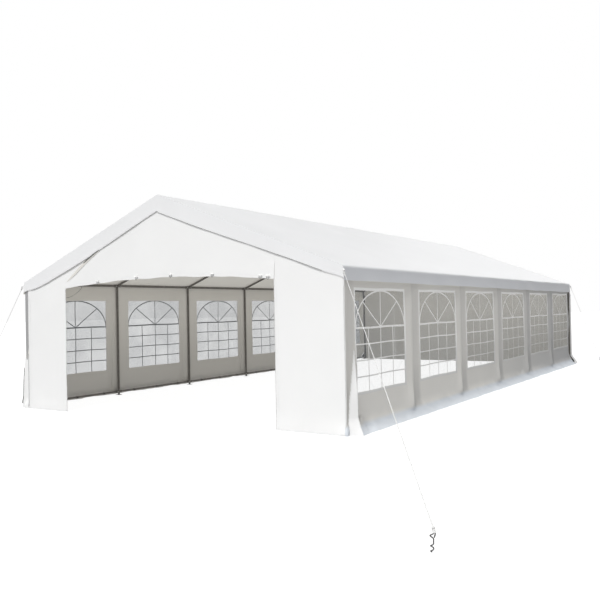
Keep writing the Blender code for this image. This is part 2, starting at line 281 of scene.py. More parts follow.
class TentColourSettings(bpy.types.PropertyGroup):
    cover: colour_setting("Cover", "Roof cloth", (0.85, 0.852, 0.86))
    wall: colour_setting("End Walls", "Cloth of the end walls", (0.902, 0.902, 0.899))
    # Painted shade: the side walls' cloth is a darker, warmer copy of the end walls'
    side_wall: colour_setting("Side Walls", "Cloth of the side walls", (0.822, 0.806, 0.768))
    # Painted shade: the walls' inner face is a darker copy of their cloth
    lining: colour_setting("Wall Lining", "Inner face of the walls", (0.775, 0.755, 0.712))
    cover_lining: colour_setting("Cover Lining", "Inner face of the roof", (0.84, 0.82, 0.765))
    bars: colour_setting("Bars", "Window bars and borders", (0.92, 0.92, 0.91))
    clear: colour_setting("Clear", "Clear sheet", (0.37, 0.40, 0.43))
    steel: colour_setting("Steel", "Coated tubes", (0.15, 0.14, 0.13))
    rope: colour_setting("Rope", "Guy ropes", (0.80, 0.80, 0.79))
    stake: colour_setting("Stake", "Stakes and rings", (0.03, 0.03, 0.03))


class TentStageSettings(bpy.types.PropertyGroup):
    key: strength_setting("Key Light", "Strength of the key light", 2.72)
    back: strength_setting("Back Light", "Strength of the light from behind", 0.75)
    sky: strength_setting("Sky", "Strength of the soft light from above", 0.60)
    floor_glow: strength_setting("Floor Glow", "Light that the floor gives", 0.64)


# Shapes of numbers


def ease(share):
    """Rises smoothly from 0 to 1 as the share does."""
    share = np.clip(share, 0, 1)
    return share * share * (3 - 2 * share)


def hump(distance, half_width):
    """1 where the distance is 0, falling smoothly to 0 at half_width on either side."""
    return 0.5 + 0.5 * np.cos(np.pi * np.clip(np.asarray(distance) / half_width, -1, 1))


def ripple(a, b, seed, shortest, longest):
    """An unevenness of about -1 to 1 over the lengths a and b, from waves between the two lengths."""
    chance = np.random.default_rng(seed)
    total = np.zeros(np.broadcast(a, b).shape)
    for turn in chance.uniform(0, math.pi, 6):
        wave = chance.uniform(shortest, longest)
        phase = chance.uniform(0, 2 * math.pi)
        total = total + np.sin((a * math.cos(turn) + b * math.sin(turn)) * 2 * math.pi / wave + phase)
    return total / 3.5


def steps(start, end, size):
    """Even steps from start to end, each at most the size."""
    count = max(1, math.ceil(abs(end - start) / size - 1e-6))
    return np.linspace(start, end, count + 1)


def lines_through(stops, size):
    """Even steps between each two of the stops, in one rising array."""
    stops = sorted(stops)
    parts = [steps(low, high, size) for low, high in zip(stops, stops[1:]) if high - low > 1e-6]
    return np.unique(np.concatenate(parts).round(6))


# Meshes


def mesh_object(name, points, faces, uv=None):
    """An object from arrays of points and faces, with the uv of each point in metres."""
    used, places = np.unique(np.asarray(faces), return_inverse=True)
    points = np.asarray(points)[used]
    faces = places.reshape(np.asarray(faces).shape)
    mesh = bpy.data.meshes.new(name)
    mesh.from_pydata(points.tolist(), [], faces.tolist())
    if uv is not None:
        layer = mesh.uv_layers.new(name="cloth")
        uv = np.asarray(uv)[used]
        layer.data.foreach_set("uv", uv[faces.ravel()].astype(np.float32).ravel())
    mesh.shade_smooth()
    obj = bpy.data.objects.new(name, mesh)
    bpy.context.scene.collection.objects.link(obj)
    return obj


def grid_cells(across, along, hole=None):
    """The four corners of each cell of a grid of points, without those whose middle is in the hole."""
    index = np.arange(len(across) * len(along)).reshape(len(across), len(along))
    cells = np.stack([index[:-1, :-1], index[1:, :-1], index[1:, 1:], index[:-1, 1:]], axis=-1)
    if hole is None:
        return cells.reshape(-1, 4)
    u, v = np.meshgrid((across[:-1] + across[1:]) / 2, (along[:-1] + along[1:]) / 2, indexing="ij")
    return cells[~hole(u, v)]


def facing_out(points, faces, facing):
    """The same faces, turned over if most of them look away from the direction they should face."""
    first, second, third = (points[faces[:, corner]] for corner in (0, 1, 2))
    normals = np.cross(second - first, third - first)
    return faces if np.sum(normals @ np.asarray(facing, float)) >= 0 else faces[:, ::-1]


def grid_object(name, across, along, surface, facing, hole=None):
    """A sheet of cells between the lines across and along, placed by surface(u, v)."""
    u, v = np.meshgrid(across, along, indexing="ij")
    points = np.stack(np.broadcast_arrays(*surface(u, v)), axis=-1).reshape(-1, 3)
    faces = facing_out(points, grid_cells(np.asarray(across), np.asarray(along), hole), facing)
    return mesh_object(name, points, faces, np.stack([u, v], axis=-1).reshape(-1, 2))


def neighbours(path, closed=False):
    """The points after and before each point of a path."""
    ahead = np.roll(path, -1, axis=0)
    behind = np.roll(path, 1, axis=0)
    if not closed:
        ahead[-1] = 2 * path[-1] - path[-2]
        behind[0] = 2 * path[0] - path[1]
    return ahead, behind


def unit(vectors):
    return vectors / np.linalg.norm(vectors, axis=1, keepdims=True)


def run_along(path):
    """How far each point of a path is from its start, along it."""
    return np.concatenate([[0], np.cumsum(np.linalg.norm(np.diff(path, axis=0), axis=1))])


def strip_faces(count):
    """The faces of a strip of that many rows, with three points in each."""
    rows = 3 * np.arange(count - 1)
    return np.concatenate([np.stack([rows, rows + 3, rows + 4, rows + 1], axis=1) + side for side in (0, 1)])


def strip_object(name, path, width, surface, facing):
    """A strip of cloth along a path on the surface's own two directions. It has one width, or one a point."""
    path = np.asarray(path, float)
    width = np.broadcast_to(width, len(path))
    ahead, behind = neighbours(path)
    out = unit(ahead - path)
    along = unit(unit(path - behind) + out)
    stretch = 1 / np.maximum(0.5, np.sum(along * out, axis=1))
    normal = np.stack([-along[:, 1], along[:, 0]], axis=1) * stretch[:, None]
    edges = [path + normal * share * width[:, None] / 2 for share in (-1, 0, 1)]
    flat = np.stack(edges, axis=1).reshape(-1, 2)
    points = np.stack(np.broadcast_arrays(*surface(flat[:, 0], flat[:, 1])), axis=-1)
    faces = facing_out(points, strip_faces(len(path)), facing)
    uv = np.stack([(width[:, None] * (-0.5, 0, 0.5)).ravel(), np.repeat(run_along(path), 3)], axis=1)
    return mesh_object(name, points, faces, uv)


def apply_modifiers(obj):
    """Gives an object the mesh that its modifiers make."""
    graph = bpy.context.evaluated_depsgraph_get()
    old = obj.data
    obj.data = bpy.data.meshes.new_from_object(obj.evaluated_get(graph))
    obj.data.name = obj.name
    obj.modifiers.clear()
    bpy.data.meshes.remove(old)
    return obj


def thicken(obj, thickness, *materials, back=None):
    """Gives a sheet its thickness, inwards from its outer face.

    The inner face has the last material, or the one whose place is back.
    """
    for material in materials:
        obj.data.materials.append(material)
    solid = obj.modifiers.new("thickness", "SOLIDIFY")
    solid.thickness = thickness
    solid.offset = -1
    solid.use_rim = True
    solid.material_offset = len(materials) - 1 if back is None else back
    apply_modifiers(obj)
    obj.data.set_sharp_from_angle(angle=math.radians(60))
    return obj


def repaint(obj, index, chosen):
    """Gives the material slot of that index to the faces for which chosen(face) is true."""
    for face in obj.data.polygons:
        if chosen(face):
            face.material_index = index
    return obj


def joined(name, objects):
    """One object from several that share their materials."""
    keep = objects[0]
    bm = bmesh.new()
    for obj in objects:
        bm.from_mesh(obj.data)
    mesh = bpy.data.meshes.new(name)
    bm.to_mesh(mesh)
    bm.free()
    for material in keep.data.materials:
        mesh.materials.append(material)
    for obj in objects:
        data = obj.data
        bpy.data.objects.remove(obj, do_unlink=True)
        bpy.data.meshes.remove(data)
    whole = bpy.data.objects.new(name, mesh)
    bpy.context.scene.collection.objects.link(whole)
    return whole


def weld(obj, distance=0.0004):
    """Joins points that lie on each other, and turns the faces so that most of the sheet looks up."""
    bm = bmesh.new()
    bm.from_mesh(obj.data)
    bmesh.ops.remove_doubles(bm, verts=bm.verts[:], dist=distance)
    bmesh.ops.recalc_face_normals(bm, faces=bm.faces[:])
    upward = sum(face.normal.z * face.calc_area() for face in bm.faces)
    if upward < 0:
        bmesh.ops.reverse_faces(bm, faces=bm.faces[:])
    bm.to_mesh(obj.data)
    bm.free()
    obj.data.shade_smooth()
    return obj


def ring_faces(count, sides, closed=False):
    """The faces between that many rings of points, with the last joined to the first if it's closed."""
    faces = []
    for row in range(count if closed else count - 1):
        low, high = row * sides, (row + 1) % count * sides
        for side in range(sides):
            turn = (side + 1) % sides
            faces.append((low + side, low + turn, high + turn, high + side))
    return np.array(faces)


def rounded(obj, material, sharp_from, closed=False):
    """Gives a round piece its caps, unless it's closed, its material and its smooth sides."""
    if not closed:
        bm = bmesh.new()
        bm.from_mesh(obj.data)
        bmesh.ops.holes_fill(bm, edges=[edge for edge in bm.edges if edge.is_boundary], sides=0)
        bm.to_mesh(obj.data)
        bm.free()
    obj.data.materials.append(material)
    obj.data.shade_smooth()
    obj.data.set_sharp_from_angle(angle=math.radians(sharp_from))
    return obj


def tube_object(name, path, radius, material, sides=10, closed=False):
    """A round tube along the points, with capped ends, and its run along it in metres as v."""
    path = np.asarray(path, float)
    ahead, behind = neighbours(path, closed)
    tangent = unit(ahead - behind)
    across = np.cross(tangent[0], (0.0, 0.0, 1.0))
    if np.linalg.norm(across) < 0.1:
        across = np.cross(tangent[0], (0.0, 1.0, 0.0))
    normals = []
    for direction in tangent:
        across = across - direction * np.dot(across, direction)
        across = across / np.linalg.norm(across)
        normals.append(across)
    normals = np.array(normals)
    others = np.cross(tangent, normals)
    radii = np.broadcast_to(radius, len(path))
    angles = np.arange(sides) * 2 * math.pi / sides
    ring = normals[:, None] * np.cos(angles)[None, :, None] + others[:, None] * np.sin(angles)[None, :, None]
    points = (path[:, None] + ring * radii[:, None, None]).reshape(-1, 3)
    uv = np.stack([np.tile(angles / (2 * math.pi), len(path)), np.repeat(run_along(path), sides)], axis=1)
    obj = mesh_object(name, points, ring_faces(len(path), sides, closed), uv)
    return rounded(obj, material, 50, closed)


def smooth_path(points, size):
    """Points about that far apart on a smooth curve through the given ones."""
    points = np.asarray(points, float)
    ends = np.vstack([2 * points[0] - points[1], points, 2 * points[-1] - points[-2]])
    found = []
    for index in range(1, len(ends) - 2):
        p0, p1, p2, p3 = ends[index - 1 : index + 3]
        count = max(2, math.ceil(np.linalg.norm(p2 - p1) / size))
        for share in np.arange(count) / count:
            curve = 2 * p1 + (p2 - p0) * share + (2 * p0 - 5 * p1 + 4 * p2 - p3) * share**2
            found.append(0.5 * (curve + (3 * p1 - p0 - 3 * p2 + p3) * share**3))
    found.append(points[-1])
    return np.array(found)


def lathe_object(name, outline, material, sides=16):
    """A round solid about Z from its outline, a list of (radius, height) from the bottom up."""
    angles = np.arange(sides) * 2 * math.pi / sides
    points = [(r * math.cos(a), r * math.sin(a), z) for r, z in outline for a in angles]
    return rounded(mesh_object(name, points, ring_faces(len(outline), sides)), material, 35)


def move(obj, location, axis=(0, 0, 1), roll=0.0):
    """Turns a mesh's own Z to the axis and carries it to the location."""
    turn = Vector(axis).to_track_quat("Z", "Y").to_matrix().to_4x4() @ Matrix.Rotation(roll, 4, "Z")
    obj.data.transform(Matrix.Translation(location) @ turn)
    return obj


# Surfaces of the cover and the walls


def roof_profile():
    """Points and outward directions across the cover's right half, from the ridge down to the hanging edge.

    Returns the length along the cloth, x, z, and the outward direction's x and z.
    """
    centre_x = COVER_EDGE - EAVE_ROUND
    centre_z = ROOF_TOP - centre_x * math.tan(SLOPE) - EAVE_ROUND / math.cos(SLOPE)
    rows = []
    start_x = centre_x + EAVE_ROUND * math.sin(SLOPE)
    for x in (*RIDGE_POINTS, start_x):
        lift = math.hypot(x, RIDGE_ROUND) - x
        tilt = math.atan2(math.sin(SLOPE) * min(1, x / 0.02), math.cos(SLOPE))
        rows.append((x, ROOF_TOP - (x + lift) * math.tan(SLOPE), math.sin(tilt), math.cos(tilt)))
    for share in np.linspace(0, 1, 7)[1:]:
        angle = math.pi / 2 - SLOPE - share * (math.pi / 2 - SLOPE)
        out = (math.cos(angle), math.sin(angle))
        rows.append((centre_x + EAVE_ROUND * out[0], centre_z + EAVE_ROUND * out[1], *out))
    rows.append((COVER_EDGE, VALANCE_BOTTOM, 1.0, 0.0))
    rows = np.array(rows)
    run = np.concatenate([[0], np.cumsum(np.hypot(*np.diff(rows[:, :2], axis=0).T))])
    return run, *rows.T


PROFILE = roof_profile()
SLOPE_END = len(RIDGE_POINTS)  # which of its points is the last before the eave
ROUND_START = PROFILE[0][SLOPE_END]  # lengths along the cloth from the ridge, where it turns over the eave
ROUND_END = PROFILE[0][-2]
VALANCE_END = PROFILE[0][-1]
PURLIN_RUN = HALF_SPAN / 2 / math.cos(SLOPE)


def bay_share(y):
    """How far y is from one frame to the next, from 0 to 1."""
    place = np.clip((y + HALF_LENGTH) / BAY, 0, BAYS - 1e-9)
    return place - np.floor(place)


def valance_depth(run):
    """0 where the cover turns down at the eave, 1 at its hanging edge."""
    return np.clip((np.abs(run) - ROUND_END) / (VALANCE_END - ROUND_END), 0, 1)


def roof_surface(run, y, lift=0.0):
    """The cover's outer face at that length from the ridge along the cloth, left if negative."""
    cloth = bpy.context.scene.tent_cloth
    side = np.where(run < 0, -1.0, 1.0)
    length = np.abs(run)
    x, z, out_x, out_z = (np.interp(length, PROFILE[0], row) for row in PROFILE[1:])
    share = bay_share(y)
    from_end = np.minimum(np.abs(y + HALF_LENGTH), np.abs(y - HALF_LENGTH))
    toward_end = np.where(y < 0, share, 1 - share)
    skewed = np.where(from_end < BAY, toward_end**0.62, share)
    along = 4 * skewed * (1 - skewed)
    upper = np.sin(np.pi * np.clip(length / PURLIN_RUN, 0, 1))
    lower = np.sin(np.pi * np.clip((length - PURLIN_RUN) / (ROUND_START - PURLIN_RUN), 0, 1))
    across = np.where(length < PURLIN_RUN, 0.8 * upper, lower)
    depth = cloth.roof_sag * along * (across + 0.1 * (length < ROUND_START))
    depth = depth + 0.0022 * ripple(run, y, 3, 0.5, 1.6) * np.clip(8 * along * across, 0, 1)
    hang = valance_depth(run)
    flare = cloth.edge_flare * hang**1.6 + 0.006 * hang * ripple(run, y, 5, 0.5, 1.4)
    near_end = hump(from_end, 0.16)
    flare = flare + (cloth.gable_flare * hang**1.6 - flare) * near_end
    fall = VALANCE_FALL * ease((y + HALF_LENGTH) / (2 * HALF_LENGTH)) * hang
    lift = lift - depth
    out = x + out_x * lift + flare
    y = y + np.sign(y) * flare * near_end + np.sign(y) * COVER_OUT * (np.abs(y) >= HALF_LENGTH - 1e-6)
    return side * out, y, z + out_z * lift - fall - 0.004 * hang * ripple(y, run, 9, 0.7, 2.0)


def gable_drop(x, end):
    """How far the cover's gable edge hangs below the roof's line."""
    bow = 0.030 * hump(np.abs(x) - 1.5, 1.5)
    if end > 0:
        return GABLE_DROP + bow - 0.05 * ease((np.abs(x) - 2.0) / 1.1)
    right = 0.016 - 0.088 * ease(x / 2.9)
    left = bow - 0.045 * ease((np.abs(x) - 2.4) / 0.7)
    return GABLE_DROP + np.where(x > 0, right, left)


def gable_surface(end, run, share, lift=0.0):
    """The cover's hanging gable edge: share is 0 at the roof's end and 1 at the hanging edge."""
    cloth = bpy.context.scene.tent_cloth
    side = np.where(run < 0, -1.0, 1.0)
    y_end = np.full(np.shape(run), end * HALF_LENGTH)
    x, _, top = roof_surface(run, y_end)
    corner = hump(COVER_EDGE - np.abs(x), 0.12)
    eave_x, _, eave_z = roof_surface(side * ROUND_END, y_end)
    corner_x, _, corner_z = roof_surface(side * (ROUND_END + share * (VALANCE_END - ROUND_END)), y_end)
    blend = ease((np.abs(run) - ROUND_START + 0.30) / (ROUND_END - ROUND_START + 0.30))
    fall = share * gable_drop(x, end)
    z = top - fall + (corner_z - eave_z + fall) * blend
    flush = ease((x - 2.75) / 0.15) * (end < 0)
    flare = cloth.gable_flare * share**1.6 * (1 - flush)
    ripples = 0.0025 * share * ripple(run, share * 0.3, 15 + end, 0.6, 1.6) * (1 - corner) * (1 - flush)
    out = COVER_OUT + flare + ripples + lift
    x = x + (corner_x - eave_x) * corner
    return x, end * (HALF_LENGTH + out), z


def on_gable(end, depth=1.0, lift=0.0):
    """A gable edge's surface, with how far down it is from 0 to that depth, or one that lies off it."""
    return lambda run, down: gable_surface(end, run, down / depth, lift)


def pleat_lines(side, z):
    """At each height: where a front corner's pleat starts, its crest's place, and how far that stands out."""
    heights, *rows = np.transpose(PLEATS[side])
    return [np.interp(z, heights, row) for row in rows]


def pleat_out(side, from_post, z, spread):
    """How far a side wall stands out beside its front corner: a valley, then a pleat with a sharp crest."""
    starts, crests, outs = pleat_lines(side, z)
    depth = 0.008 * ease(starts / 0.1) * ease((1.99 - z) / 0.25)
    low = starts * 0.3
    past = np.clip((from_post - crests) / np.where(z > 0.2, 0.14, 0.28), 0, 1)
    return np.select(
        [from_post < low, from_post < starts, from_post < crests],
        [
            -depth * ease(from_post / low),
            -depth * (1 - (from_post - low) / (starts - low)),
            outs * (from_post - starts) / (crests - starts),
        ],
        np.maximum(outs + (spread - outs) * past, spread),
    )


def wall_surface(side, along, down, lift=0.0):
    """The outer face of a side wall, at that length down the cloth from its top.

    Along runs with Y. Past the front post the cloth turns round it and goes on behind the front panel.
    """
    cloth = bpy.context.scene.tent_cloth
    share = np.clip((down - FOOT_START) / FOOT_LENGTH, 0, 1)
    from_front = along + HALF_LENGTH
    nearest = np.round(along / BAY)
    inner = np.abs(along) < HALF_LENGTH - BAY / 2
    to_crest = along - BAY * nearest + np.where(nearest % 2, FOLD_AHEAD[1], FOLD_AHEAD[0])
    bend = 0.054 - 0.034 * hump(to_crest, 0.4) * inner + 0.036 * ease((0.9 - from_front) / 0.4)
    bent = FOOT_TURN * (1 - share) ** 2 + 2 * bend * share * (1 - share)
    z = np.where(down < FOOT_START, WALL_TOP - down, bent)
    from_rear = HALF_LENGTH - along
    spread = FOOT_SPREAD * share**2 * (0.955 + 0.045 * ripple(along, 0 * along, 27 + side, 0.5, 1.6))
    spread = np.where(from_front < 0.8, pleat_out(side, from_front, z, spread), spread)
    clear = ease((z - 0.10) / 0.2) * ease((1.97 - z) / 0.2)
    drawn_in = 0.038 * clear * (1 - 0.6 * hump(z - 1.1, 0.5))
    spread = spread - drawn_in * ease((REAR_GAP + 0.16 - from_rear) / 0.16)
    fold = np.interp(to_crest, FOLD_PLACES, FOLD_HIGH) * ease((1.86 - z) / 0.35)
    low_fold = np.interp(to_crest, FOLD_PLACES, FOLD_LOW) * ease(1.2 - share / 0.4)
    fold = (fold + (low_fold - fold) * ease((0.52 - z) / 0.30)) * inner
    between = -cloth.slack * np.sqrt(np.sin(np.pi * bay_share(along)).clip(0)) * ease((1.98 - z) / 0.14)
    between = between * ease((z - 0.06) / 0.4)
    waves = cloth.foot_waves * ripple(along, down, 21 + side, 0.28, 0.9) * share
    waves = waves + 0.3 * cloth.foot_waves * ripple(along, down, 61 + side, 0.14, 0.3) * share
    soft = 0.0022 * ripple(along, down, 33 + side, 0.35, 1.1) * np.clip(6 * z, 0, 1)
    out = fold + between + soft + waves
    out = out * ease((from_front - 0.02) / 0.3) + lift
    tilt = 0.9 * share
    turn = np.clip(-from_front / WALL_OUT, 0, math.pi / 2)
    past = np.clip(-from_front - POST_TURN, 0, None)
    foot = (0.021 + 0.020 * np.sin(2 * turn)) * ease((0.17 - z) / 0.10)
    foot = foot * hump(np.clip(from_front, 0, None), 0.12)
    radius = WALL_OUT - 0.0035 * turn + foot + out * (turn > 0)
    x = HALF_SPAN + radius * np.cos(turn) - past + (spread + out * np.cos(tilt)) * (turn <= 0)
    y = np.where(turn > 0, -HALF_LENGTH - radius * np.sin(turn), along)
    z = np.where(turn > 0, WALL_TOP - down, z + out * np.sin(tilt) * 0.6)
    return side * x, y, np.maximum(z, 0.0025 + 0.3 * lift)


def end_surface(end, x, z, lift=0.0):
    """The outer face of an end wall's panels."""
    soft = 0.0024 * ripple(x, z, 41 + end, 0.5, 1.5)
    folds = 0.0035 * np.sin(2 * np.pi * (x / 0.41 + 0.12 * np.sin(2.3 * z))) * ease((1.9 - z) / 1.2)
    foot = 0.014 * ease((0.22 - z) / 0.22) * (0.6 + 0.4 * np.sin(7.0 * x))
    foot = foot + 0.019 * ease((0.12 - z) / 0.12) * hump(np.abs(x) - HALF_SPAN, 0.14)
    return x, end * (HALF_LENGTH + WALL_OUT + np.maximum(soft + folds, -0.001) + foot + lift), z


def on_wall(side, lift=0.0):
    """A side wall's surface, or one that lies that far off it."""
    return lambda along, down: wall_surface(side, along, down, lift)


def on_end(end, lift):
    """A surface that lies that far off an end wall's."""
    return lambda x, z: end_surface(end, x, z, lift)


def header_height(x):
    """The doorway's upper edge: a shallow arch with slack between its ties."""
    slack = 0.004 * np.sin(6.1 * x) + 0.003 * np.sin(14.3 * x + 1.0)
    return HEADER_SIDE + HEADER_RISE * (1 - (x / HALF_DOOR) ** 2) + slack * (1 - np.abs(x / HALF_DOOR) ** 4)


def under_roof(x):
    """Height under the cover's slope, a little clear of it."""
    return ROOF_TOP - 0.012 - np.abs(x) * math.tan(SLOPE)


# Materials


def put(tree, place, value):
    """Sets an input to a number or colour, or joins it to another node's output."""
    if isinstance(value, bpy.types.NodeSocket):
        tree.links.new(value, place)
    else:
        place.default_value = value


def new_material(name):
    """A material and its nodes."""
    material = bpy.data.materials.new(name)
    material.use_nodes = True
    return material, material.node_tree


def set_shader(material, **inputs):
    """Sets a material's own inputs, each named by its words in lower case."""
    tree = material.node_tree
    places = {place.name.lower().replace(" ", "_"): place for place in tree.nodes["Principled BSDF"].inputs}
    for name, value in inputs.items():
        put(tree, places[name], value)
    return material


def shader_source(material, name):
    """The output that is joined to that input of a material."""
    return material.node_tree.nodes["Principled BSDF"].inputs[name].links[0].from_socket


def add_node(tree, kind, **inputs):
    """A node with those of its inputs set."""
    node = tree.nodes.new(kind)
    for name, value in inputs.items():
        put(tree, node.inputs[name], value)
    return node


def map_range(tree, value, start=0.0, end=1.0, low=0.0, high=1.0, clamp=True):
    """Goes from low to high as the value goes from start to end."""
    node = tree.nodes.new("ShaderNodeMapRange")
    node.clamp = clamp
    names = ("Value", "From Min", "From Max", "To Min", "To Max")
    for name, number in zip(names, (value, start, end, low, high)):
        put(tree, node.inputs[name], number)
    return node.outputs["Result"]


def calculated(tree, operation, *values):
    """The result of a sum on outputs and numbers."""
    node = tree.nodes.new("ShaderNodeMath")
    node.operation = operation
    for place, value in zip(node.inputs, values):
        put(tree, place, value)
    return node.outputs["Value"]


def compared(tree, operation, place, other):
    """One number for a place and another place or direction."""
    node = tree.nodes.new("ShaderNodeVectorMath")
    node.operation = operation
    put(tree, node.inputs[0], place)
    put(tree, node.inputs[1], other)
    return node.outputs["Value"]


def object_place(tree):
    """A place in the tent's own X, Y and Z."""
    return tree.nodes.new("ShaderNodeTexCoord").outputs["Object"]


def cloth_place(tree):
    """A place along the cloth's own two directions."""
    node = tree.nodes.new("ShaderNodeUVMap")
    node.uv_map = "cloth"
    return node.outputs["UV"]


def coordinates(tree):
    return add_node(tree, "ShaderNodeSeparateXYZ", Vector=object_place(tree)).outputs


def noise(tree, place, scale, **more):
    return add_node(tree, "ShaderNodeTexNoise", Vector=place, Scale=scale, **more).outputs["Fac"]


def bands(tree, place, direction, scale, distortion=0.0):
    """Even waves in one direction."""
    node = add_node(tree, "ShaderNodeTexWave", Vector=place, Scale=scale, Distortion=distortion)
    node.bands_direction = direction
    return node.outputs["Fac"]


def bump(tree, height, strength, distance, over=None):
    """A fine relief, laid over another one if there is one."""
    node = add_node(tree, "ShaderNodeBump", Height=height, Strength=strength, Distance=distance)
    if over is not None:
        put(tree, node.inputs["Normal"], over)
    return node.outputs["Normal"]


def ramp_between(tree, value, low, high):
    """A colour that goes from low to high as the value goes from 0 to 1."""
    mix = tree.nodes.new("ShaderNodeMix")
    mix.data_type = "RGBA"
    mix.inputs["A"].default_value = (*low, 1)
    mix.inputs["B"].default_value = (*high, 1)
    tree.links.new(value, mix.inputs["Factor"])
    return mix.outputs["Result"]


def level_ramp(tree, value, stops, interpolation="LINEAR"):
    """A level that goes through the stops, each a value and its level, and is 0 outside them."""
    ramp = add_node(tree, "ShaderNodeValToRGB", Fac=value)
    ramp.color_ramp.interpolation = interpolation
    for position, level in stops:
        ramp.color_ramp.elements.new(position).color = (level, level, level, 1)
    ramp.color_ramp.elements[0].color = (0, 0, 0, 1)
    ramp.color_ramp.elements[-1].color = (0, 0, 0, 1)
    return ramp.outputs["Color"]


def shade(colour, factor):
    """The colour made darker, or lighter if the factor is over 1."""
    return tuple(min(1.0, channel * factor) for channel in colour)


def cloth_material(name, colour, roughness, contrast=0.03, crease=0.0016):
    """Coated woven cloth: a plain weave of flat tapes, soft creases and faint mottling."""
    material, tree = new_material(name)
    place = object_place(tree)
    mottle = noise(tree, place, 1.3, Detail=5.0, Roughness=0.6)
    creases = noise(tree, place, 3.4, Detail=7.0, Roughness=0.62, Distortion=0.6)
    tapes = [bands(tree, cloth_place(tree), way, 1 / WEAVE / 3.1416, 0.4) for way in ("X", "Y")]
    soft = bump(tree, creases, 0.5, crease)
    return set_shader(
        material,
        base_color=ramp_between(tree, mottle, shade(colour, 1 - contrast), shade(colour, 1 + contrast)),
        roughness=map_range(tree, mottle, low=roughness - 0.08, high=roughness + 0.1),
        normal=bump(tree, calculated(tree, "MULTIPLY", *tapes), 0.5, 0.00025, over=soft),
        specular_ior_level=0.1,
        sheen_weight=0.05,
    )


def blended(material, amount, tint, kind="MIX"):
    """Blends a material's colour into the tint, as far as the amount says at each place."""
    tree = material.node_tree
    mix = tree.nodes.new("ShaderNodeMix")
    mix.data_type = "RGBA"
    mix.blend_type = kind
    tree.links.new(amount, mix.inputs["Factor"])
    tree.links.new(shader_source(material, "Base Color"), mix.inputs["A"])
    mix.inputs["B"].default_value = (*tint, 1)
    return set_shader(material, base_color=mix.outputs["Result"])


def tinted_from(material, start, end, strength, tint, axis="Z", within=None):
    """Blends a material's colour into the tint from the start to the end height, or along another axis.

    Within keeps it to the part that lies that near to the tent's middle, along the ridge.
    """
    tree = material.node_tree
    parts = coordinates(tree)
    amount = map_range(tree, parts[axis], start, end, high=strength)
    if within is not None:
        amount = calculated(tree, "MULTIPLY", calculated(tree, "COMPARE", parts["Y"], 0.0, within), amount)
    return blended(material, amount, tint)


def shaded_folds(material, strength):
    """Darkens a side wall's cloth behind the fold at each post, most of all low down: painted shade."""
    tree = material.node_tree
    parts = coordinates(tree)
    start = -HALF_LENGTH - 0.2
    share = calculated(tree, "FRACT", map_range(tree, parts["Y"], start, start + BAY, clamp=False))
    behind = level_ramp(tree, share, ((0.065, 0.0), (0.095, 1.0), (0.17, 0.8), (0.25, 0.0)), "EASE")
    low = map_range(tree, parts["Z"], 0.75, 0.30, strength * 0.4, strength)
    return blended(material, calculated(tree, "MULTIPLY", behind, low), FOLD_SHADE, "MULTIPLY")


def sky_tinted_foot(material):
    # Painted sky light: tints the lowest part of the spread foot bluish grey, as the sky it faces lights it
    return tinted_from(material, 0.135, 0.085, 0.9, FOOT_SKY_TINT)


def side_material(name, colour, rear_shade=None):
    """A side wall: a darker, warmer copy of the end walls' cloth as painted shade, with more painted shade
    behind its folds and under the cover's hanging edge, and painted sky light at its foot.

    A rear shade is the colour of the painted shade that it goes to at its rear end.
    """
    material = cloth_material(name, colour, 0.52)
    if rear_shade:
        # Painted shade, darker towards the rear end
        material = tinted_from(material, -1.0, HALF_LENGTH, 1.0, rear_shade, axis="Y")
    # Painted shade behind the folds and under the cover's hanging edge
    material = tinted_from(shaded_folds(material, 0.36), 1.80, VALANCE_BOTTOM, 0.35, SHADE_UNDER_COVER)
    return sky_tinted_foot(material)


def hanging_edge(material):
    """Greys the cover where it hangs down along the eaves: painted shade."""
    gable = HALF_LENGTH + COVER_OUT - 0.002
    return tinted_from(material, EAVE_HEIGHT + 0.04, EAVE_HEIGHT - 0.01, 1.0, EAVE_SHADE, within=gable)


def stitched_material(name, colour):
    """Hem tape: coated cloth with two rows of stitches along it."""
    material = cloth_material(name, colour, 0.5, contrast=0.02, crease=0.0006)
    tree = material.node_tree
    turned = add_node(tree, "ShaderNodeMapping", Vector=cloth_place(tree), Rotation=(0, 0, math.pi / 2))
    sizes = {"Brick Width": 0.0045, "Row Height": 0.011, "Mortar Size": 0.0006}
    stitches = add_node(tree, "ShaderNodeTexBrick", Vector=turned.outputs["Vector"], Scale=1.0, **sizes)
    cloth = shader_source(material, "Normal")
    return set_shader(material, normal=bump(tree, stitches.outputs["Fac"], 0.35, 0.0004, over=cloth))


def trim_material(name, colour, roughness, contrast):
    """Narrow tape or print, with finer creases than a sheet's."""
    return cloth_material(name, colour, roughness, contrast, crease=0.0004)


def rear_painted_shade_material(name):
    """A dark tape at a rear corner, painted shade for the shadowed gap there: dark at its top, lighter grey
    in the middle, and darker at its foot.
    """
    material = trim_material(name, (0.12, 0.12, 0.12), 0.8, 0.1)
    material = tinted_from(material, 1.72, 1.58, 1.0, (0.36, 0.36, 0.355))
    return tinted_from(material, 0.95, 0.40, 1.0, (0.02, 0.02, 0.02))


def lit_through(material, strength):
    """Makes a material glow a little: painted light for the daylight that comes through thin white cloth from
    behind.
    """
    return set_shader(material, emission_color=DAYLIGHT, emission_strength=strength)


def bar_material(name, colour):
    """White printed band on the clear sheet, with a faint glow of painted light from behind, and painted
    shade on its lower part.
    """
    material = lit_through(trim_material(name, colour, 0.4, 0.02), 0.08)
    return tinted_from(material, 1.05, 0.78, 1.0, shade(colour, 0.73))


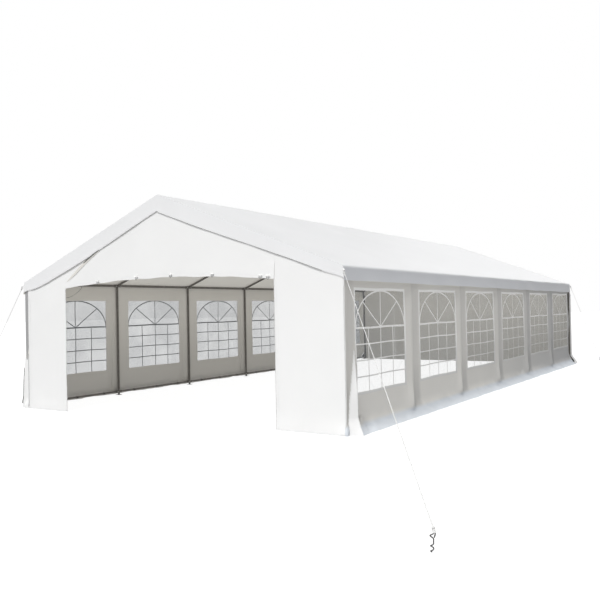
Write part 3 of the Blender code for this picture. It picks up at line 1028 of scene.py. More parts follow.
def clear_material(name, colour, haze, creased):
    """Clear flexible sheet: a grey tint, soft waves, and creases from folding that catch the light."""
    material, tree = new_material(name)
    place = object_place(tree)
    waves = noise(tree, place, 1.6, Detail=2.0, Distortion=0.5)
    creases = add_node(tree, "ShaderNodeTexVoronoi", Vector=place, Scale=2.6)
    creases.feature = "DISTANCE_TO_EDGE"
    from_crease = map_range(tree, creases.outputs["Distance"], end=0.04)
    cover = map_range(tree, waves, 0.3, 0.7, haze * 0.85, haze * 1.15)
    lines = map_range(tree, from_crease, low=creased, high=0.0)
    return set_shader(
        material,
        base_color=ramp_between(tree, waves, shade(colour, 0.85), shade(colour, 1.2)),
        alpha=calculated(tree, "ADD", cover, lines),
        normal=bump(tree, waves, 0.4, 0.006, over=bump(tree, from_crease, 0.15, 0.001)),
        roughness=0.15,
        ior=1.45,
    )


def steel_material(name, colour, roughness, metallic):
    """Coated steel: fine orange-peel, light scuffs, and paint worn brighter here and there."""
    material, tree = new_material(name)
    place = object_place(tree)
    scuffs = noise(tree, place, 14.0, Detail=8.0, Roughness=0.7)
    worn = map_range(tree, scuffs, 0.45, 0.75)
    return set_shader(
        material,
        base_color=ramp_between(tree, worn, colour, shade(colour, 1.7)),
        roughness=map_range(tree, scuffs, low=roughness - 0.1, high=roughness + 0.15),
        normal=bump(tree, noise(tree, place, 420.0, Detail=2.0), 0.3, 0.0002),
        metallic=metallic,
    )


def rope_material(name, colour):
    """Laid cord: strands that wind round it, with dirt between them."""
    material, tree = new_material(name)
    along = add_node(tree, "ShaderNodeMapping", Vector=cloth_place(tree), Scale=(3.0, 110.0, 1.0))
    strands = bands(tree, along.outputs["Vector"], "DIAGONAL", 1.0, 0.3)
    tint = ramp_between(tree, strands, shade(colour, 0.88), shade(colour, 1.05))
    return set_shader(material, base_color=tint, normal=bump(tree, strands, 0.6, 0.0008), roughness=0.75)


def zip_material(name, colour):
    """A zip's tape with its row of teeth."""
    material, tree = new_material(name)
    teeth = bands(tree, cloth_place(tree), "Y", 1 / 0.006)
    tint = ramp_between(tree, teeth, shade(colour, 0.6), colour)
    return set_shader(material, base_color=tint, normal=bump(tree, teeth, 0.5, 0.001), roughness=0.55)


def lining_material(name, colour):
    """The walls' inner face, darker to the ground: painted shade."""
    return tinted_from(cloth_material(name, colour, 0.6, 0.05), 1.45, 0.1, 0.44, shade(colour, 0.45))


def finish(name):
    """The named finish of this tent, made when it is first asked for."""
    known = bpy.data.materials.get(name)
    if known:
        return known
    colours = bpy.context.scene.tent_colours
    makers = {
        "cover_cloth": lambda: hanging_edge(cloth_material(name, colours.cover, 0.5)),
        "cover_hem_tape": lambda: hanging_edge(stitched_material(name, colours.cover)),
        "wall_cloth": lambda: cloth_material(name, colours.wall, 0.52),
        "side_cloth_left": lambda: side_material(name, colours.side_wall),
        "side_cloth_right": lambda: side_material(name, colours.side_wall, REAR_SHADE),
        "wall_lining": lambda: lining_material(name, colours.lining),
        # Painted light: the roof's inner face glows a little
        "cover_lining": lambda: lit_through(cloth_material(name, colours.cover_lining, 0.6, 0.04), 0.05),
        "hem_tape": lambda: stitched_material(name, colours.wall),
        # The foot's hem gets the same painted sky light
        "side_hem_tape": lambda: sky_tinted_foot(stitched_material(name, colours.side_wall)),
        "window_bar_cloth": lambda: bar_material(name, colours.bars),
        # Painted shade: the bars' inner faces are a dark grey copy of the white print
        "bar_back": lambda: trim_material(name, (0.22, 0.22, 0.215), 0.6, 0.04),
        "grey_tape": lambda: trim_material(name, (0.38, 0.38, 0.385), 0.7, 0.05),
        "rear_tape": lambda: rear_painted_shade_material(name),
        # Painted shade: the left windows' sheets are darker, hazier copies of the right ones', the last left
        # window's hazier still
        "clear_sheet_left": lambda: clear_material(name, colours.clear, 0.33, 0.006),
        "clear_sheet_left_cloudy": lambda: clear_material(name, colours.clear, 0.62, 0.006),
        "clear_sheet_right": lambda: clear_material(name, shade(colours.clear, 1.95), 0.08, 0.022),
        "coated_steel": lambda: steel_material(name, colours.steel, 0.42, 0.35),
        "bright_bolt": lambda: steel_material(name, (0.42, 0.42, 0.41), 0.35, 0.9),
        "stake_steel": lambda: steel_material(name, colours.stake, 0.4, 0.6),
        "guy_cord": lambda: rope_material(name, colours.rope),
        "black_cord": lambda: rope_material(name, (0.03, 0.03, 0.03)),
        # This dark cord also stands for painted shade along the gables' hanging edges and the gable lap
        "edge_cord": lambda: rope_material(name, (0.16, 0.16, 0.155)),
        "zip_teeth": lambda: zip_material(name, (0.82, 0.82, 0.81)),
    }
    return makers[name]()


def settle(obj):
    """Puts a finished piece on the tent's body."""
    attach(obj, "root")
    return obj


def gathered(name, parts):
    """Settles several like pieces as one."""
    return settle(joined(name, parts))


def circle(centre, one, other, count):
    """Even points round a centre, from two arrows from it to its rim that are square to each other."""
    angles = np.linspace(0, 2 * math.pi, count, endpoint=False)[:, None]
    return np.asarray(centre) + np.cos(angles) * np.asarray(one) + np.sin(angles) * np.asarray(other)


# Pieces


class TENT_OT_frame(bpy.types.Operator):
    """Coats the steel frame, and adds its bolts and end caps"""

    bl_idname = "tent.frame"
    bl_label = "Frame Finish and Bolts"

    def execute(self, context):
        steel = finish("coated_steel")
        starts, ends = ("left_post", "right_post", "rafter_pair"), ("pole", "purlin", "rail")
        for name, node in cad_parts.items():
            if name.startswith(starts) or name.endswith(ends):
                node.data.materials.clear()
                node.data.materials.append(steel)
        gathered("frame_wing_bolts", [self.bolt(*place) for place in self.bolt_places()])
        caps = [self.cap(pole, end) for pole in LONG_POLES for end in ENDS.values()]
        gathered("pole_end_caps", caps)
        return {"FINISHED"}

    def bolt_places(self):
        """Each clamp screw's place and the way it points: inwards at the posts, and down under the roof."""
        found = []
        on_post = HALF_SPAN - TUBE_TO_BOLT
        heights = (EAVE_HEIGHT, middle_of("right_ground_rail").z)
        for line in FRAME_LINES:
            inward = 1 if line < 0 else -1
            at_end = line in (FRAME_LINES[0], FRAME_LINES[-1])
            offsets = (BOLT_OFFSET,) if at_end else (-BOLT_OFFSET, BOLT_OFFSET)
            rows = [(side * on_post, z, (-side, 0, 0)) for side in SIDES.values() for z in heights]
            for x in (-HALF_SPAN / 2, 0.0, HALF_SPAN / 2):
                rows.append((x, RIDGE_HEIGHT - abs(x) * math.tan(SLOPE) - TUBE_TO_BOLT, (0, 0, -1)))
            for x, z, axis in rows:
                found.extend(((x, line + inward * offset, z), axis) for offset in offsets)
        return found

    def cap(self, pole, end):
        """A flat cap on a long pole's end."""
        outline = [(0.0185, 0.0), (0.0185, 0.0012), (0.015, 0.0025)]
        low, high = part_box(pole)
        place = (low + high) / 2
        place.y = (low.y if end < 0 else high.y) + end * CAP_GAP
        return move(lathe_object("cap", outline, finish("stake_steel")), place, (0, end, 0))

    def bolt(self, place, axis):
        """A clamp screw with a flat wing head."""
        outline = [(0.0045, 0.0), (0.0045, 0.012), (0.009, 0.013), (0.010, 0.019), (0.0075, 0.022)]
        return move(lathe_object("bolt", outline, finish("bright_bolt"), sides=8), place, axis)


class TENT_OT_cover(bpy.types.Operator):
    """Makes the roof sheet with its hanging edges, and the hems on them"""

    bl_idname = "tent.cover"
    bl_label = "Roof Cover"

    def execute(self, context):
        cloth = context.scene.tent_cloth
        rows = 7  # of points down the hanging edges
        runs = self.runs(cloth, np.linspace(ROUND_END, VALANCE_END, rows))
        lines = self.lines(cloth)
        parts = [grid_object("top", runs, lines, roof_surface, (0, 0, 1))]
        over = runs[np.abs(runs) <= ROUND_END + 1e-5]
        shares = np.linspace(0, 1, rows)
        for end in ENDS.values():
            parts.append(grid_object("gable", over, shares, on_gable(end), (0, end, 0)))
        cover = weld(joined("roof_cover_sheet", parts))
        thicken(cover, cloth.thickness, finish("cover_cloth"), finish("cover_lining"))
        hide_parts("roof_cover")
        settle(cover)
        hems = self.hems(cloth, lines, over)
        # Painted shade: dark cords for the shadow line under each gable's hanging edge
        cords = gathered("gable_edge_cords", [self.edge_cord(end, over) for end in ENDS.values()])
        rings = gathered("corner_rings", [self.corner_ring(*corner) for corner in CORNERS])
        tabs = gathered("corner_tabs", [self.corner_tab(*corner) for corner in CORNERS])
        return {"FINISHED"}

    def runs(self, cloth, hanging):
        """Lengths from the ridge along the cloth, from one hanging edge to the other."""
        slope = lines_through([*RIDGE_POINTS[2:], PURLIN_RUN, ROUND_START], cloth.mesh_step)
        half = np.unique(np.concatenate([RIDGE_POINTS[:2], slope, PROFILE[0][SLOPE_END:-1]]).round(6))
        half = np.unique(np.concatenate([half, hanging]).round(6))
        return np.concatenate([-half[:0:-1], half])

    def lines(self, cloth):
        """Places along the ridge, with three close together at each frame."""
        near = [line + offset for line in FRAME_LINES for offset in (-0.05, 0, 0.05)]
        return lines_through([stop for stop in near if abs(stop) <= HALF_LENGTH + 1e-6], cloth.mesh_step)

    def hems(self, cloth, lines, over):
        """The tape sewn along all four hanging edges."""
        width = cloth.hem_width
        up = (width / 2 + 0.002) / (VALANCE_END - ROUND_END)
        run = VALANCE_END - width / 2 - 0.001
        tapes = []
        for side in SIDES.values():
            path = [(side * run, y) for y in lines]
            tape = strip_object("hem", path, width, lambda r, y: roof_surface(r, y, TAPE_LIFT), (side, 0, 0))
            tapes.append(tape)
        path = [(r, (1 - up) * GABLE_DROP) for r in over]
        for end in ENDS.values():
            tapes.append(strip_object("hem", path, width, on_gable(end, GABLE_DROP, TAPE_LIFT), (0, end, 0)))
        for tape in tapes:
            thicken(tape, TAPE_THICKNESS, finish("cover_hem_tape"))
        return gathered("cover_hems", tapes)

    def edge_cord(self, end, over):
        """A dark cord along a gable's hanging edge: painted shade for the shadow line under it."""
        last = ROUND_START - (0.25 if end < 0 else 0.13)
        runs = over[(over > 0.13 - ROUND_START) & (over < last)]
        points = np.stack(gable_surface(end, runs, np.ones(len(runs)), -0.001), axis=-1)
        points[:, 2] -= 0.002
        return tube_object("cord", points, 0.0025, finish("edge_cord"), sides=6)

    def corner_tab(self, side, end):
        """A webbing loop sewn to the cover's corner, through the ring."""
        out = np.array([side, end, 0]) / math.sqrt(2)
        across = np.array([-end, side, 0]) / math.sqrt(2)
        post = np.array([side * HALF_SPAN, end * HALF_LENGTH, 0])
        step = 0.005
        path = smooth_path(TAB_LOOP, step)
        edges = [across * edge for edge in (-TAB_WIDTH / 2, 0, TAB_WIDTH / 2)]
        points = [post + out * r + edge + (0, 0, z) for r, z in path for edge in edges]
        run = np.arange(len(path)) * step
        uv = np.stack([np.tile([-TAB_WIDTH / 2, 0, TAB_WIDTH / 2], len(path)), np.repeat(run, 3)], axis=1)
        return thicken(mesh_object("tab", points, strip_faces(len(path)), uv), 0.002, finish("hem_tape"))

    def corner_ring(self, side, end):
        """A steel ring in the corner's webbing loop, for the guy rope."""
        out = np.array([side, end, 0]) / math.sqrt(2)
        centre = np.array([side * HALF_SPAN, end * HALF_LENGTH, RING_HEIGHT]) + out * RING_OUT
        points = circle(centre, out * RING_RADIUS, (0, 0, RING_RADIUS), 24)
        return tube_object("ring", points, RING_ROD, finish("stake_steel"), sides=8, closed=True)


class TENT_OT_side_walls(bpy.types.Operator):
    """Makes the two side walls with their window holes, hems and spreading feet"""

    bl_idname = "tent.side_walls"
    bl_label = "Side Walls"

    def execute(self, context):
        cloth = context.scene.tent_cloth
        lines, falls = self.lines(), self.falls()
        for name, side in SIDES.items():
            sheet = f"{name}_wall_sheet"
            wall = grid_object(sheet, lines, falls, on_wall(side), (side, 0, 0), hole=self.in_window)
            finishes = [finish(f"side_cloth_{name}"), finish("wall_cloth"), finish("wall_lining")]
            thicken(wall, cloth.thickness, *finishes)
            # Painted light: the pleat's forward faces get the end walls' brighter cloth
            repaint(wall, 1, self.in_flap)
            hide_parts(f"{name}_side_wall")
            settle(wall)
            hems = self.hems(name, side)
        return {"FINISHED"}

    def lines(self):
        """Places along a wall, closest at the front corner's pleat and at the fold over each post."""
        half = WINDOW_WIDTH / 2
        holes = [middle + edge for middle in WINDOW_MIDDLES for edge in (-half, half)]
        parts = [
            [WALL_FRONT - WALL_TUCK, WALL_FRONT - 0.03],
            steps(WALL_FRONT, -HALF_LENGTH, 0.008),
            steps(-HALF_LENGTH, holes[0], 0.0075),
            lines_through([*holes, *FRAME_LINES[1:-1], WALL_REAR - 0.2], 0.033),
            [line + place for line in FRAME_LINES[1:-1] for place in steps(-0.25, 0.09, 0.0155)],
            steps(WALL_REAR - 0.2, WALL_REAR, 0.02),
        ]
        lines = np.unique(np.concatenate(parts).round(6))
        return lines[np.concatenate([[True], np.diff(lines) > 0.0015])]

    def falls(self):
        """Lengths down a wall's cloth, closest in its spread foot."""
        upper = lines_through([0, WALL_TOP - WINDOW_HEAD, WALL_TOP - WINDOW_SILL, FOOT_START], 0.05)
        foot = FOOT_START + np.linspace(0, FOOT_LENGTH, 18)
        return np.unique(np.concatenate([upper, foot]).round(6))

    def in_flap(self, face):
        """The forward faces of the pleat beside a front corner."""
        side = 1 if face.center.x > 0 else -1
        if face.material_index or face.center.z > FLAP_TOP[side]:
            return False
        start, crest, _ = pleat_lines(side, face.center.z)
        from_front = face.center.y + HALF_LENGTH
        return from_front < crest and (from_front > start or side < 0)

    def in_window(self, y, down):
        """Whether that place on the wall is in a window's hole."""
        z = WALL_TOP - down
        beside = np.abs(y - BAY * (np.floor(y / BAY) + 0.5)) < WINDOW_WIDTH / 2
        return beside & (z > WINDOW_SILL) & (z < WINDOW_HEAD)

    def hems(self, name, side):
        """The hems at the wall's foot and at its rear edge."""
        width = 0.026
        inset = 0.014  # of the hem's middle from the cloth's edge
        upright = [(WALL_REAR - inset, fall) for fall in np.linspace(0.02, FOOT_END - 0.01, 60)]
        level = [(y, FOOT_END - inset) for y in steps(-HALF_LENGTH + 0.09, WALL_REAR - 0.005, 0.03)]
        tapes = []
        for path in (upright, level):
            tape = strip_object("hem", path, width, on_wall(side, TAPE_LIFT), (side, 0, 0))
            tapes.append(thicken(tape, TAPE_THICKNESS, finish("side_hem_tape")))
        return gathered(f"{name}_wall_hems", tapes)


class TENT_OT_windows(bpy.types.Operator):
    """Makes the clear sheets of the twelve windows, with their borders and bars"""

    bl_idname = "tent.windows"
    bl_label = "Windows"

    def execute(self, context):
        for name, side in SIDES.items():
            for index, middle in enumerate(WINDOW_MIDDLES):
                node = f"{name}_window_{index + 1}"
                half = WINDOW_WIDTH / 2 + WINDOW_LAP
                ys = steps(middle - half, middle + half, 0.03)
                falls = steps(WALL_TOP - WINDOW_HEAD - WINDOW_LAP, WALL_TOP - WINDOW_SILL + WINDOW_LAP, 0.06)
                sheet = grid_object(f"{node}_sheet", ys, falls, on_wall(side, -CLEAR_BEHIND), (side, 0, 0))
                cloudy = "_cloudy" if node == f"left_window_{BAYS}" else ""
                thicken(sheet, CLEAR_THICKNESS, finish(f"clear_sheet_{name}{cloudy}"))
                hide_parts(node)
                settle(sheet)
                bars = self.bars(context.scene.tent_windows, node, side, middle, index)
        return {"FINISHED"}

    def bars(self, sizes, node, side, middle, index):
        """The border on both faces, and the arch, spokes and pane bars of one window."""
        inner = WINDOW_WIDTH / 2 - 0.010
        outer = inner + sizes.border / 2
        top = ARCH_TOP + sizes.border / 2
        bottom = WINDOW_SILL + 0.005 - sizes.border / 2
        spring = SPRING_LINE
        finishes = [finish("window_bar_cloth"), finish("bar_back"), finish("wall_lining")]
        strips = []

        def lay(path, width, lift=TAPE_LIFT, back=1):
            bent = []
            for y, z in path:
                slack = 0.003 * math.sin(7 * z + index), 0.003 * math.sin(6 * y + 2 * index)
                bent.append((middle + y + slack[0], WALL_TOP - z - slack[1]))
            strip = strip_object("bar", bent, width, on_wall(side, lift), (side, 0, 0))
            strips.append(thicken(strip, BAR_THICKNESS, *finishes, back=back))

        def run(start, end, width, **more):
            count = max(2, math.ceil(math.dist(start, end) / 0.06) + 1)
            lay(np.linspace(start, end, count), width, **more)

        ends = outer + sizes.border / 2
        for lift, upper in ((TAPE_LIFT, sizes.border), (-BORDER_BEHIND, BORDER_TOP - ARCH_TOP)):
            head = ARCH_TOP + upper / 2
            run((-outer, bottom), (-outer, top), sizes.border, lift=lift, back=2)
            run((outer, bottom), (outer, top), sizes.border, lift=lift, back=2)
            over = lift + CROSSING_LIFT
            run((-ends, head), (ends, head), upper, lift=over, back=2)
            run((-ends, bottom), (ends, bottom), sizes.border, lift=over, back=2)
        angles = np.linspace(math.pi, 0, 41)
        rise = ARCH_TOP - spring
        lay([(inner * math.cos(a), spring + rise * math.sin(a)) for a in angles], sizes.arch_bar, ARCH_LIFT)
        run((-inner, spring), (inner, spring), sizes.cross_bar)
        for angle in (45, 90, 135):
            turn = math.radians(angle)
            run((0, spring), (inner * math.cos(turn), spring + rise * math.sin(turn)), sizes.thin_bar)
        for row in range(1, WINDOW_ROWS):
            z = spring + (bottom - spring) * row / WINDOW_ROWS
            run((-inner, z), (inner, z), sizes.thin_bar)
        for column in range(1, WINDOW_COLUMNS):
            y = inner * (2 * column / WINDOW_COLUMNS - 1)
            run((y, bottom), (y, spring), sizes.thin_bar)
        return gathered(f"{node}_bars", strips)


class TENT_OT_end_walls(bpy.types.Operator):
    """Makes the open front and the closed rear, with hems, zips and toggles"""

    bl_idname = "tent.end_walls"
    bl_label = "End Walls"

    def execute(self, context):
        self.cloth = context.scene.tent_cloth
        for end_name, end in ENDS.items():
            for side_name, side in SIDES.items():
                self.corner_panel(end_name, end, side_name, side)
            self.gable(end_name, end)
        self.rear_door()
        self.tie_back()
        return {"FINISHED"}

    def panel(self, piece, node):
        """Gives a sheet the cloth's thickness and lets it stand for that panel of the frame."""
        thicken(piece, self.cloth.thickness, finish("wall_cloth"), finish("wall_lining"))
        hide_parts(node)
        return settle(piece)

    def hem(self, end, path, width, lift=0.0006):
        """A tape along a path of (x, z) on an end wall."""
        tape = strip_object("hem", path, width, on_end(end, lift), (0, end, 0))
        return thicken(tape, TAPE_THICKNESS, finish("hem_tape"))

    def corner_panel(self, end_name, end, side_name, side):
        """The panel between a corner post and the doorway."""
        name = f"{end_name}_{side_name}_panel"
        rear = end > 0
        lapped = name == "front_left_panel"
        outer = HALF_SPAN - LAPPED_EDGE if lapped else HALF_SPAN + PANEL_EDGE
        door_edge = HALF_DOOR + 0.001
        width = outer - door_edge

        def surface(x, share):
            z = share * under_roof(x)
            inside = 1 - (x - door_edge) / width
            outside = np.clip((x - outer + 0.12) / 0.12, 0, 1) ** 2
            reach = ease((z - HEADER_SIDE - 0.09) / 0.30)
            flange = 0.024 * ease((1.86 - z) / 0.1) + 0.13 * ease((0.26 - z) / 0.26)
            x = x - (PANEL_BEHIND if lapped else 0.03) * reach * inside + flange * outside * rear
            pleat = 0.007 * hump(x - outer + 0.055, 0.022) * ease((1.7 - z) / 0.8)
            past_post = np.clip(x - HALF_SPAN, 0, WALL_OUT) * (not rear)
            wrap = (WALL_OUT - np.sqrt(WALL_OUT**2 - past_post**2)) * 0.75 * ease(z / 0.05)
            x, y, z = end_surface(end, side * x, np.minimum(z, under_roof(x)), pleat - 0.0015 - wrap)
            return x, y, np.maximum(z, 0.002)

        across = np.concatenate([steps(door_edge, outer - 0.04, 0.03), steps(outer - 0.032, outer, 0.004)])
        piece = grid_object(f"{name}_sheet", across, np.linspace(0, 1, 44), surface, (0, end, 0))
        self.panel(piece, name)
        repaint(piece, 0, lambda face: rear and abs(face.center.x) > HALF_SPAN + 0.003)
        jamb = steps(0.02, HEADER_SIDE - 0.02, 0.05)
        foot = steps(door_edge + 0.045, outer - 0.055, 0.05)
        hems = [
            self.hem(end, [(side * (door_edge + 0.022), z) for z in jamb], 0.036),
            self.hem(end, [(x * side, HEM_FOOT) for x in foot], 0.030),
            self.hem(end, [(side * (outer - 0.028), z) for z in steps(0.02, 1.84, 0.05)], 0.046, 0.0022),
        ]
        hems = gathered(f"{name}_hems", hems)
        edge = [(side * (door_edge + 0.0045), z) for z in jamb]
        teeth = strip_object("zip", edge, 0.008, on_end(end, 0.0012), (0, end, 0))
        teeth.name = f"{name}_zip"
        settle(thicken(teeth, 0.002, finish("zip_teeth")))
        if rear or lapped:
            self.corner_tape(name, end, side)

    def corner_tape(self, name, end, side):
        """The tape where a corner panel meets the side wall's edge, dark at a rear corner and grey at the
        front left one: painted shade for the shadowed gap and fold there.
        """
        heights = steps(0.03 if end > 0 else FLAP_TOP[side], 1.93, 0.06)
        if end > 0:
            across = np.linspace(0, 1, 4)

            def surface(share, z):
                edge = 0.026 + 0.115 * ease((0.24 - z) / 0.2)
                return side * (HALF_SPAN - 0.03 + share * edge), 0 * z + HALF_LENGTH + 0.0235, z

            tape = grid_object(f"{name}_tape", across, heights, surface, (0, -end, 0))
            # Painted shade: a dark tape for the shadowed gap at the rear corner
            tape = thicken(tape, 0.0015, finish("rear_tape"))
        else:
            turned = POST_TURN * np.array([0.55, 0.8, 1.0, 1.0])
            across = -HALF_LENGTH - turned - np.array([0, 0, 0, WALL_TUCK])
            middle = across.mean()

            def surface(along, z):
                taper = 0.25 + 0.75 * ease((z - FLAP_TOP[side]) / 0.3)
                return wall_surface(side, middle + (along - middle) * taper, WALL_TOP - z, TAPE_THICKNESS)

            tape = grid_object(f"{name}_tape", across, heights, surface, (side, end, 0))
            # Painted shade: a grey tape for the shaded fold at the front left corner
            tape = thicken(tape, TAPE_THICKNESS, finish("grey_tape"))
            settle(self.pleat_edging(side))
            # Painted shade: a grey line for the shadow along the front left panel's edge
            path = [(side * (HALF_SPAN - 0.066), z) for z in steps(0.03, FLAP_TOP[side] + 0.1, 0.05)]
            seam = strip_object("front_lap_seam", path, 0.010, on_end(end, 0.0095), (0, end, 0))
            settle(thicken(seam, 0.001, finish("grey_tape")))
        return settle(tape)

    def pleat_edging(self, side):
        """The black cord along the crest of the pleat below the grey tape."""
        heights = steps(0.014, 0.66, 0.03)
        crests = pleat_lines(side, heights)[1]
        points = np.stack(wall_surface(side, crests - HALF_LENGTH, WALL_TOP - heights, 0.003), axis=-1)
        thick = np.interp(heights, (0.014, 0.12, 0.2, 0.66), (0.010, 0.009, 0.005, 0.004))
        return tube_object("front_pleat_cord", points, thick, finish("black_cord"), sides=8)

    def gable(self, end_name, end):
        """The panel over the doorway, whose left border laps the corner panel at the front."""
        lapped = end_name == "front"
        xs = steps(-HALF_DOOR - 0.018, HALF_DOOR + 0.018, 0.04)

        def surface(x, share):
            low = header_height(np.clip(x, -HALF_DOOR, HALF_DOOR))
            z = low + (under_roof(x) - low) * share
            border = hump(x + HALF_DOOR + 0.018, 0.5) * lapped
            x = x + border * np.clip((z - 2.05) / math.tan(math.radians(33)), 0, None)
            seat = 0.004 * ease((np.abs(x) - HALF_DOOR + 0.2) / 0.15) * ease((2.2 - z) / 0.1)
            return end_surface(end, x, np.minimum(z, under_roof(x)), 0.0005 + seat)

        name = f"{end_name}_gable_panel"
        piece = grid_object(f"{name}_sheet", xs, np.linspace(0, 1, 30), surface, (0, end, 0))
        self.panel(piece, name)
        path = [(x, header_height(x) + 0.015) for x in steps(-HALF_DOOR, HALF_DOOR, 0.04)]
        hem = self.hem(end, path, 0.034, 0.0085)
        hem.name = f"{end_name}_header_hem"
        trims = [settle(hem), *self.toggles(end_name, end)]
        if lapped:
            trims.extend(self.lap(end))

    def lap(self, end):
        """A grey strip of the lining on the gable panel's lapped border, with a dark cord at its upper end:
        painted shade for the shadowed slit there.
        """
        path = smooth_path([(*point, 0) for point in GABLE_LAP], 0.03)[:, :2]
        share = np.linspace(0, 1, len(path))
        width = 0.004 + 0.042 * np.sin(np.pi * share**0.9) ** 0.8
        strip = strip_object("gable_lap", path, width, on_end(end, 0.006), (0, end, 0))
        strip = settle(thicken(strip, 0.0015, finish("wall_lining")))
        upper = path[share > 0.55] + (-0.006, 0.012)
        points = np.stack(end_surface(end, upper[:, 0], upper[:, 1], 0.008), axis=-1)
        thick = 0.003 + 0.006 * np.sin(np.pi * np.linspace(0, 1, len(points)))
        # Painted shade: a dark cord for the slit's deepest shadow
        cord = tube_object("gable_lap_cord", points, thick, finish("edge_cord"), sides=6)
        return strip, settle(cord)

    def toggles(self, end_name, end):
        """Loops and toggles along the header that hold a rolled door."""
        loops, bars = [], []
        wall = HALF_LENGTH + WALL_OUT
        for x in TOGGLES:
            z = header_height(x) + 0.026
            y = end * (wall + 0.014)
            arm = [(0.014, y, 0.012), (0.018, y + end * 0.006, -0.02)]
            loop = [(x - out, depth, z + up) for out, depth, up in arm]
            loop.append((x, y + end * 0.008, z - 0.040))
            loop += [(x + out, depth, z + up) for out, depth, up in reversed(arm)]
            loops.append(tube_object("loop", smooth_path(loop, 0.006), 0.0017, finish("edge_cord"), sides=6))
            y = end * (wall + 0.016 + TOGGLE_RADIUS)
            bar = smooth_path([(x - TOGGLE_HALF, y, z + 0.008), (x + TOGGLE_HALF, y, z + 0.013)], 0.012)
            bars.append(tube_object("bar", bar, TOGGLE_RADIUS, finish("window_bar_cloth"), sides=8))
        loops = gathered(f"{end_name}_header_loops", loops)
        return loops, gathered(f"{end_name}_header_toggles", bars)

    def tie_back(self):
        """The cord that ties the doorway's upper left corner back to the header."""
        y = -HALF_LENGTH - 0.012
        path = [(-2.005, y - 0.012, 1.795)]
        path += [(x, y, z) for x, z in DOORWAY_TIE]
        cord = tube_object("doorway_tie", smooth_path(path, 0.02), 0.003, finish("edge_cord"), sides=8)
        settle(cord)

    def rear_door(self):
        """The closed door sheet of the rear."""
        xs = steps(-HALF_DOOR + 0.002, HALF_DOOR - 0.002, 0.04)

        def surface(x, share):
            z = share * (header_height(x) + 0.02)
            folds = 0.006 * np.sin(2 * np.pi * (x / 0.52)) * ease((1.7 - z) / 1.4)
            x, y, z = end_surface(1, x, z, folds - 0.001)
            return x, y, np.maximum(z, 0.002)

        piece = grid_object("rear_door_sheet", xs, np.linspace(0, 1, 40), surface, (0, 1, 0))
        self.panel(piece, "rear_door_panel")
        across = steps(-HALF_DOOR + 0.02, HALF_DOOR - 0.02, 0.05)
        hem = self.hem(1, [(x, HEM_FOOT) for x in across], 0.030, 0.008)
        hem.name = "rear_door_hem"
        settle(hem)


class TENT_OT_ties(bpy.types.Operator):
    """Ties the walls to the ground rails"""

    bl_idname = "tent.ties"
    bl_label = "Wall Ties"

    def execute(self, context):
        for name, side in SIDES.items():
            rail = middle_of(f"{name}_ground_rail")
            knots = []
            for middle in WINDOW_MIDDLES:
                for offset in (-TIE_SPACING, 0.0, TIE_SPACING):
                    knots.append(self.tie(rail.x, middle + offset, rail.z, side))
            gathered(f"{name}_rail_ties", knots)
        return {"FINISHED"}

    def tie(self, x, y, z, side):
        """A cord round the rail with its knot and two loose ends."""
        cord = finish("black_cord")
        reach = 0.0215  # from the rail's centre to the cord's
        count = 18
        ring = circle((x, y, z), (reach, 0, 0), (0, 0, reach), count)
        ring[:, 1] += 0.003 * np.sin(2 * np.linspace(0, 2 * math.pi, count, endpoint=False))
        parts = [tube_object("ring", ring, 0.0025, cord, sides=6, closed=True)]
        for lean in (-1, 1):
            tail = [(x - side * 0.022, y, z)]
            tail.append((x - side * 0.034, y + lean * 0.012, z - 0.004))
            tail.append((x - side * 0.040, y + lean * 0.022, z - 0.028))
            parts.append(tube_object("tail", smooth_path(tail, 0.006), 0.0022, cord, sides=6))
        outline = [(0.002, -0.007), (0.0075, -0.003), (0.0075, 0.003), (0.002, 0.007)]
        knot = lathe_object("knot", outline, cord, 8)
        parts.append(move(knot, (x - side * 0.027, y, z), (0, 1, 0)))
        return joined("tie", parts)


